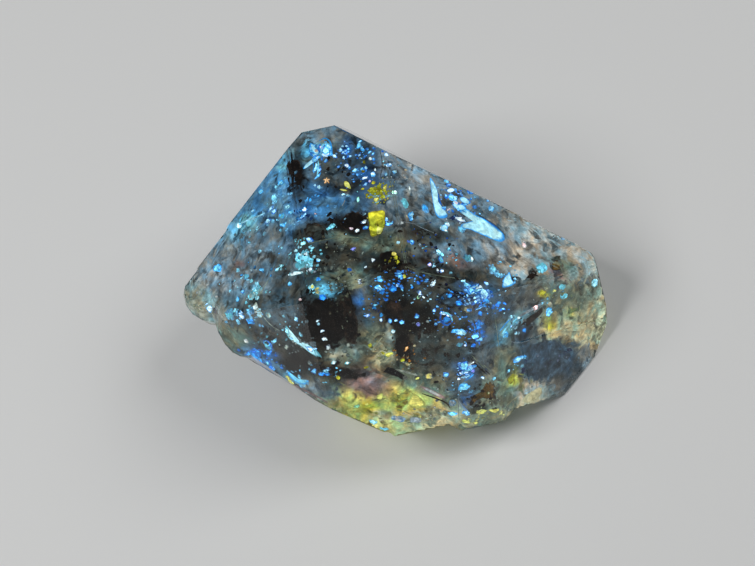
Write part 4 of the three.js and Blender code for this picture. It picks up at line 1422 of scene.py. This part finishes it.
YELLOW_SWARMS = [
    ((378, 192), 0.5, 0.5, 0, 190, 0.03, 0.1, 40, MUSTARD, LEMON),
    ((376, 222), 0.4, 0.7, 0, 40, 0.03, 0.1, 70, MUSTARD, PALE_LEMON),
    ((398, 402), 1.4, 0.7, 0, 14, 0.04, 0.1, 0, YELLOW_GLOW, PALE_LEMON),
    ((425, 412), 1.2, 0.6, 0, 16, 0.04, 0.1, 0, OLIVE_GREY, CREAM),
    ((485, 414), 1.1, 0.4, 4, 40, 0.03, 0.1, 0, OLIVE_GREY, PALE_LEMON),
    ((394, 256), 0.4, 0.4, 0, 22, 0.03, 0.07, 60, OLIVE, MUSTARD),
    ((406, 356), 0.7, 0.6, 0, 34, 0.03, 0.09, 30, UMBER, AMBER),
    ((380, 352), 0.6, 0.5, 0, 30, 0.03, 0.09, 0, OLIVE, CREAM),
    ((556, 296), 0.8, 0.5, 0, 16, 0.03, 0.09, 0, OLIVE_GREY, YELLOW_GLOW),
]
YELLOW_FILMS = [
    (0.18, 0.2, [(367, 213), (371, 210), (379.5, 210.5), (380, 219), (377, 228), (369, 224)], MUSTARD, LEMON),
    (0.15, 0.2, [(375, 210.5), (384.5, 209), (386, 218), (384.5, 230), (377.5, 228),
                 (374.5, 218)], MUSTARD, LEMON),
    (0.18, 0.2, [(369, 221), (374.5, 222), (381, 223.5), (379, 236), (371, 239), (369, 230)], MUSTARD, LEMON),
    (0.16, 0.2, [(376, 224), (384.5, 224), (383, 234), (375, 237.5)], OLIVE, PALE_LEMON),
    (0.18, 0.1, [(343.5, 181), (347.5, 181), (350, 185), (351.5, 189.5), (347, 187.5),
                 (344, 186)], MUSTARD, PALE_LEMON),
    (0.18, 0.15, [(339, 189), (343, 188.8), (348, 190), (347, 191.6), (342, 191)], MUSTARD, PALE_LEMON),
    (0.41, 0.4, [(408, 399), (414, 393), (421, 397), (428, 405), (418, 408),
                 (407, 406)], YELLOW_GLOW, PALE_LEMON),
]

yellow_drops = Droplets()
for count, (seen_at, half_length, half_width, lean, rim_tint, middle_tint) in enumerate(YELLOW_DROPS):
    depth = DEPTHS[count % len(DEPTHS)] * MM
    yellow_drops.add(seen_at, half_length, half_width, lean, depth, rim_tint, middle_tint)
for arm in STAR_ARMS:
    arm_turn = math.radians(arm)
    arm_middle = (STAR[0] + STAR_REACH * math.cos(arm_turn), STAR[1] - STAR_REACH * math.sin(arm_turn))
    yellow_drops.add(arm_middle, ARM_HALF_LENGTH, ARM_HALF_WIDTH, arm, STAR_DEPTH, OCHRE, ORANGE)
rng = random.Random(YELLOW_SEED)
for row in YELLOW_SWARMS:
    yellow_drops.swarm(rng, *row)
yellow_oil = glow_material("yellow_oil", strength=1.0, grain=5000, contrast=0.7, fray=1.6)
yellow_drops.piece("yellow_petroleum", "yellow_petroleum", yellow_oil)

flakes = Lenses()
for depth, border, outline, rim_tint, middle_tint in YELLOW_FILMS:
    flakes.lens(rounded(outline, 1), depth * MM, border, rim_tint, middle_tint)
yellow_film = glow_material("yellow_flakes", strength=1.0, grain=4200, contrast=0.8, fray=2.2)
flakes.piece("yellow_flakes", "yellow_petroleum", yellow_film)


# Bitumen: black-brown tar that the oil left behind, as jagged flakes, one round drop with an amber edge, and
# thin stains that darken whole cracks. They too glow faintly in their dark tints, painted light in place of
# being lit.
TAR_FLAKES = [
    (0.4, 0.1, [(383, 372), (387, 366.5), (393, 368), (401, 373), (406, 376), (403, 380.5), (398, 377),
                (391, 375)], PITCH, PITCH),
    (0.4, 0.2, [(396, 338), (402, 334), (409, 337), (412, 345), (409, 355), (403, 359), (397, 354),
                (394, 346)], PITCH, PITCH),
    (0.6, 0.1, [(523, 282.7), (527.5, 275.5), (533, 270), (541, 276), (535, 279)], PITCH, UMBER),
    (0.7, 0.2, [(551, 264), (556, 260), (562, 263), (561, 270), (552, 271)], UMBER, OCHRE),
    (0.7, 0.3, [(565, 250), (570, 247), (575, 250), (573, 254), (567, 254)], SMOKE, SLATE),
    (0.7, 0.2, [(567, 274), (573, 270.5), (579, 271), (576, 275), (569, 276.5)], UMBER, SMOKE),
    (0.6, 0.25, [(471, 396), (480, 392), (484, 386), (487, 380.6), (492, 384), (493.5, 394), (493.4, 401),
                 (483, 398), (475, 401), (471.5, 406)], UMBER, OCHRE),
    (0.6, 0.4, [(385, 302), (393, 297), (401, 303), (404, 313), (406, 324), (397, 319),
                (387, 312)], PITCH, UMBER),
    (0.6, 0.4, [(300, 302), (318, 296), (338, 298), (346, 320), (344, 344), (330, 354), (312, 346),
                (302, 326)], PITCH, PITCH),
    (0.6, 0.4, [(342, 296), (350, 296), (357, 312), (360, 336), (354, 350), (344, 346)], UMBER, PITCH),
    (0.6, 0.3, [(284, 338), (292, 344), (306, 353), (319, 360), (332, 365), (346, 369), (366, 374),
                (364, 379), (346, 374), (330, 370), (316, 366), (302, 357), (288, 346)], PITCH, PITCH),
    (0.7, 0.4, [(288, 158), (293, 153), (300, 158), (304, 176), (300, 196), (293, 190),
                (290, 176)], UMBER, PITCH),
    (0.7, 0.4, [(340, 214), (356, 208), (368, 214), (368, 230), (352, 234), (338, 228)], UMBER, PITCH),
    (0.7, 0.4, [(376, 250), (388, 246), (402, 256), (404, 270), (392, 276), (380, 268)], UMBER, PITCH),
    (0.7, 0.4, [(302, 222), (318, 222), (330, 232), (322, 242), (306, 238)], UMBER, SMOKE),
    (0.7, 0.4, [(414, 328), (424, 322), (436, 334), (440, 352), (430, 366), (420, 352)], UMBER, SMOKE),
    (0.6, 0.4, [(435, 296), (446, 290), (458, 294), (462, 304), (452, 310), (440, 306)], PITCH, NAVY),
    (0.7, 0.4, [(524, 344), (548, 335), (574, 350), (578, 366), (560, 384), (536, 388),
                (520, 372)], NAVY, NAVY),
    (0.6, 0.3, [(520, 326), (534, 314), (545, 304), (542, 314), (528, 326)], PITCH, UMBER),
    (0.7, 0.4, [(315, 378), (332, 380), (346, 386), (344, 400), (328, 400), (316, 392)], NAVY, SLATE),
    (0.7, 0.4, [(412, 228), (430, 226), (444, 236), (440, 246), (422, 246), (410, 240)], UMBER, SMOKE),
    (0.7, 0.4, [(418, 268), (436, 264), (446, 276), (436, 284), (420, 280)], UMBER, SMOKE),
]
STAIN_SWARMS = [
    ((376, 222), 0.3, 0.6, 0, 50, 0.02, 0.05, 70, UMBER, OLIVE),
    ((325, 322), 1.3, 1.3, 10, 60, 0.05, 0.2, 80, PITCH, PITCH),
    ((350, 322), 0.5, 1.3, 5, 18, 0.04, 0.16, 80, PITCH, UMBER),
    ((340, 222), 1.5, 0.7, 0, 18, 0.04, 0.14, 20, PITCH, UMBER),
    ((298, 176), 0.3, 1.1, 0, 30, 0.04, 0.14, 80, PITCH, UMBER),
    ((336, 170), 0.9, 0.9, 0, 22, 0.04, 0.12, 40, PITCH, UMBER),
    ((388, 262), 0.9, 0.8, 0, 18, 0.04, 0.14, 60, PITCH, UMBER),
    ((322, 236), 1.0, 0.6, 0, 18, 0.04, 0.14, 30, PITCH, UMBER),
    ((330, 254), 1.3, 0.7, 0, 22, 0.04, 0.12, 30, PITCH, UMBER),
    ((398, 310), 0.9, 0.9, 0, 27, 0.04, 0.14, 60, PITCH, UMBER),
    ((430, 340), 1.0, 1.4, 0, 27, 0.04, 0.14, 60, PITCH, UMBER),
    ((452, 300), 1.0, 0.7, 0, 22, 0.04, 0.12, 20, PITCH, MIDNIGHT),
    ((425, 238), 1.3, 0.6, -10, 20, 0.04, 0.12, 10, PITCH, UMBER),
    ((430, 272), 1.1, 0.5, -10, 20, 0.04, 0.12, 10, PITCH, UMBER),
    ((440, 380), 1.2, 0.5, -20, 18, 0.04, 0.12, -20, PITCH, UMBER),
    ((338, 370), 1.1, 0.35, -10, 50, 0.05, 0.16, -12, PITCH, PITCH),
    ((272, 336), 1.0, 0.6, -30, 18, 0.04, 0.12, -40, PITCH, NAVY),
    ((550, 362), 1.4, 1.0, 0, 20, 0.04, 0.14, 20, MIDNIGHT, NAVY),
    ((530, 320), 0.8, 0.6, 30, 16, 0.04, 0.12, 35, PITCH, UMBER),
    ((470, 345), 1.2, 1.2, 0, 22, 0.04, 0.12, 45, PITCH, NAVY),
    ((478, 396), 0.6, 0.7, 0, 30, 0.04, 0.12, 30, PITCH, UMBER),
]
tar = Lenses()
for depth, border, outline, rim_tint, middle_tint in TAR_FLAKES:
    tar.lens(rounded(outline, 1) if border > 0.3 else outline, depth * MM, border, rim_tint, middle_tint)
tar_finish = glow_material("bitumen", strength=0.8, grain=3600, contrast=1.0, fray=4.0)
tar.piece("bitumen_flakes", "bitumen", tar_finish)

stains = Droplets()
rng = random.Random(TAR_SEED)
for row in STAIN_SWARMS:
    stains.swarm(rng, *row)
speck_finish = glow_material("bitumen_specks", strength=0.8, grain=5200, contrast=0.6, fray=0.8)
stains.piece("bitumen_specks", "bitumen", speck_finish)


# Threads: painted hairlines of pale light and of shade where faces meet and where cracks end, and fine
# strokes of oil that crept along cracks. Each is a thin tapered strand: (depth, half-width in mm, route in
# the photograph, tint).
THREADS_AND_PAINTED_LINES = [
    (0.2, 0.04, [(240, 224), (248, 220), (257, 217), (264.6, 213)], ICE),
    (0.15, 0.045, [(441, 313.5), (446, 312.5), (451, 316), (452.5, 321)], CYAN),
    (0.2, 0.05, [(441, 314), (440, 320), (446, 326), (451, 323)], ROYAL),
    (0.15, 0.03, [(461, 281.5), (466, 282), (464, 286), (470, 287)], CYAN),
    (0.15, 0.035, [(468, 290), (473, 287), (478, 286)], ICE),
    (0.15, 0.035, [(471, 294), (477, 290.5), (482, 289)], ICE),
    (0.15, 0.035, [(481, 291.5), (484.5, 290), (488.5, 292.5), (489.5, 297), (486, 300),
                   (481.5, 298.5)], CYAN),
    (0.15, 0.03, [(477, 309), (482, 306), (487, 302)], AZURE),
    (0.15, 0.035, [(461, 374), (466, 371), (471, 369), (475, 366)], CYAN),
    (0.15, 0.03, [(461, 377.5), (467, 377), (470, 375.5)], ICE),
    (0.15, 0.03, [(464, 381), (470, 378), (474, 374)], AZURE),
    (0.2, 0.04, [(502, 334), (507, 327), (514, 321), (519, 317)], CYAN),
    (0.2, 0.03, [(500, 331), (505, 324), (512, 318)], AZURE),
    (0.15, 0.04, [(321, 152), (321.5, 146), (326, 142), (330, 146)], CYAN),
    (0.15, 0.04, [(319, 141), (325, 137.5), (330, 141), (331.5, 148), (332.5, 156)], AZURE),
    (0.15, 0.04, [(318, 160), (318.5, 168), (317, 177)], CYAN),
    (0.15, 0.03, [(312, 160), (314, 166), (313, 172)], AZURE),
    (0.4, 0.03, [(258.4, 281), (254, 287), (250.8, 294), (250.4, 299.6)], ICE),
    (0.4, 0.025, [(271.8, 276.4), (266.4, 282.7), (262, 291.6), (256, 298)], PALE_TEAL),
    (0.3, 0.02, [(263, 316), (270, 325), (280, 331)], PALE_TEAL),
    (0.3, 0.05, [(288, 275), (295, 273), (303, 272)], WHITE_HOT),
    (0.3, 0.035, [(365.7, 140.6), (358.8, 143), (359.6, 146.7), (362.6, 149.8)], CYAN),
    (0.3, 0.018, [(342, 206), (343.6, 203.5), (345, 200)], PEARL),
    (0.25, 0.05, [(291, 152), (292.4, 162), (293.6, 174), (293, 185)], PITCH),
    (0.25, 0.012, [(433.3, 219), (428, 222), (424, 223), (417, 224)], PALE_STEEL),
    (0.25, 0.012, [(400, 221), (408, 222.6), (417, 224)], PALE_STEEL),
    (0.25, 0.012, [(413.4, 223.5), (424, 229), (437.8, 234.2)], PALE_STEEL),
    (0.25, 0.014, [(399.6, 229), (402, 240), (404.5, 253), (407.2, 267)], OLIVE_GREY),
    (0.3, 0.012, [(385, 152), (388, 168), (393, 186), (397, 206), (399.4, 222)], OLIVE_GREY),
    (0.3, 0.02, [(407.2, 267), (420, 272), (440, 276), (462, 279)], OLIVE_GREY),
    (0.25, 0.015, [(511.4, 341.6), (516.8, 343.4), (529.3, 340.7), (545.4, 332.7)], PALE_STEEL),
    (0.3, 0.06, [(516.8, 317.5), (531, 310), (545.4, 301.4)], PALE_STEEL),
    (0.35, 0.05, [(521, 325.5), (527, 320), (533.8, 314)], PITCH),
    (0.3, 0.03, [(370.8, 352), (376, 345), (382.4, 337.2)], CREAM),
    (0.3, 0.05, [(395.7, 369.5), (406, 372), (417.2, 375.3)], PALE_TEAL),
    (0.3, 0.02, [(458.7, 380), (459, 395), (458.4, 408), (459, 420)], PALE_STEEL),
    (0.3, 0.035, [(422, 393.6), (435, 398), (447, 402.7), (450, 408)], UMBER),
    (0.3, 0.02, [(471.5, 355), (479.7, 364), (491.4, 373)], OLIVE_GREY),
    (0.35, 0.04, [(470, 357.5), (478, 367), (489, 375.6)], PITCH),
    (0.25, 0.03, [(345.8, 286), (350.4, 296.5), (353, 308), (353, 319.5)], PITCH),
    (0.25, 0.012, [(492, 300), (497, 330), (500, 360), (503, 400)], OLIVE_GREY),
    (0.25, 0.02, [(296, 300), (310, 294), (330, 290), (352, 284)], OLIVE_GREY),
    (0.25, 0.02, [(283, 300), (278, 314), (284, 326)], PALE_TEAL),
    (0.25, 0.045, [(292.5, 384), (304, 390), (316, 396), (328, 402.7)], ROSE),
    (0.25, 0.045, [(328, 403.6), (340, 410), (352, 417), (364, 423)], YELLOW_GLOW),
    (0.25, 0.018, [(380, 150), (383, 165), (380, 178)], SMOKE),
    (0.3, 0.02, [(300, 246), (322, 240), (348, 236), (372, 240)], OLIVE_GREY),
]


def strand(route, half_width, depth, face):
    """A thin tapered strand along a smooth route: its points, and the faces of its four sides."""
    fine = list(route)
    for _ in range(2):
        cut = [fine[0]]
        for start, end in zip(fine, fine[1:]):
            cut += quarter_points(start, end)
        fine = cut + [fine[-1]]
    points, faces = [], []
    reach = half_width * MM / PHOTO_PIXEL
    for k, (x, y) in enumerate(fine):
        before, after = fine[max(k - 1, 0)], fine[min(k + 1, len(fine) - 1)]
        along = Vector((after[0] - before[0], after[1] - before[1])).normalized()
        taper = reach * (0.25 + 0.75 * math.sin(math.pi * (k + 0.5) / len(fine)))
        ring = [
            inside((x - along.y * taper, y + along.x * taper), depth, face),
            inside((x, y), depth - half_width * MM * 0.5, face),
            inside((x + along.y * taper, y - along.x * taper), depth, face),
            inside((x, y), depth + half_width * MM * 0.5, face),
        ]
        if None in ring:
            return [], []
        points += ring
    for k in range(len(fine) - 1):
        for side in range(4):
            a, b = 4 * k + side, 4 * k + (side + 1) % 4
            faces.append((a, b, b + 4, a + 4))
    last = len(points) - 4
    return points, faces + [(3, 2, 1, 0), (last, last + 1, last + 2, last + 3)]


points, faces, tints = [], [], []
for depth, half_width, route, tint in THREADS_AND_PAINTED_LINES:
    new_points, new_faces = strand(route, half_width, depth * MM, face_at(route[len(route) // 2]))
    faces += [tuple(index + len(points) for index in face) for face in new_faces]
    points += new_points
    tints += [(*tint, 1)] * len(new_points)
threads_mesh = bpy.data.meshes.new("crack_threads_and_painted_lines")
threads_mesh.from_pydata(points, [], faces)
for label in ("rim", "middle"):
    values = threads_mesh.attributes.new(label, "FLOAT_COLOR", "POINT")
    values.data.foreach_set("color", [value for row in tints for value in row])
cores = threads_mesh.attributes.new("core", "FLOAT", "POINT")
cores.data.foreach_set("value", [1.0] * len(points))
shape = bmesh.new()
shape.from_mesh(threads_mesh)
bmesh.ops.recalc_face_normals(shape, faces=shape.faces)
shape.to_mesh(threads_mesh)
shape.free()
thread_finish = glow_material("threads", strength=0.8, grain=4500, contrast=0.8, fray=1.6)
add_piece("crack_threads_and_painted_lines", threads_mesh, thread_finish)


# A plain pale floor, as wide as the light reaches.
FLOOR_TINT = (0.72, 0.72, 0.71, 1)
FLOOR_HALF = 0.6
FLOOR_GAP = 0.02 * MM


def floor_material():
    material = bpy.data.materials.new("pale_floor")
    material.use_nodes = True
    shader = material.node_tree.nodes["Principled BSDF"]
    shader.inputs["Base Color"].default_value = FLOOR_TINT
    shader.inputs["Roughness"].default_value = 0.7
    return material


floor_mesh = bpy.data.meshes.new("floor")
corners = [(x * FLOOR_HALF, y * FLOOR_HALF, -FLOOR_GAP) for x, y in ((-1, -1), (1, -1), (1, 1), (-1, 1))]
floor_mesh.from_pydata(corners, [], [(0, 1, 2, 3)])
floor_mesh.materials.append(floor_material())
floor = bpy.data.objects.new("floor", floor_mesh)
bpy.context.scene.collection.objects.link(floor)


# Plain soft studio light: an even pale room and two big soft lamps, their places and sizes in metres.
ROOM_TINT = (0.9, 0.95, 1, 1)
ROOM_BRIGHTNESS = 0.12
world = bpy.data.worlds.new("studio")
world.use_nodes = True
world.node_tree.nodes["Background"].inputs["Color"].default_value = ROOM_TINT
world.node_tree.nodes["Background"].inputs["Strength"].default_value = ROOM_BRIGHTNESS
bpy.context.scene.world = world


def soft_lamp(name, place, size, power):
    lamp_data = bpy.data.lights.new(name, "AREA")
    lamp_data.shape = "DISK"
    lamp_data.size = size
    lamp_data.energy = power
    lamp = bpy.data.objects.new(name, lamp_data)
    lamp.location = place
    lamp.rotation_euler = Vector(place).to_track_quat("Z", "Y").to_euler()
    bpy.context.scene.collection.objects.link(lamp)


soft_lamp("key_lamp", place=(-0.12, -0.02, 0.17), size=0.12, power=0.24)
soft_lamp("fill_lamp", place=(0.13, 0.03, 0.16), size=0.12, power=0.14)

scene = bpy.context.scene
scene.view_settings.view_transform = "Standard"
scene.cycles.use_denoising = True
scene.cycles.transparent_max_bounces = 24
scene.cycles.transmission_bounces = 16
scene.cycles.max_bounces = 16
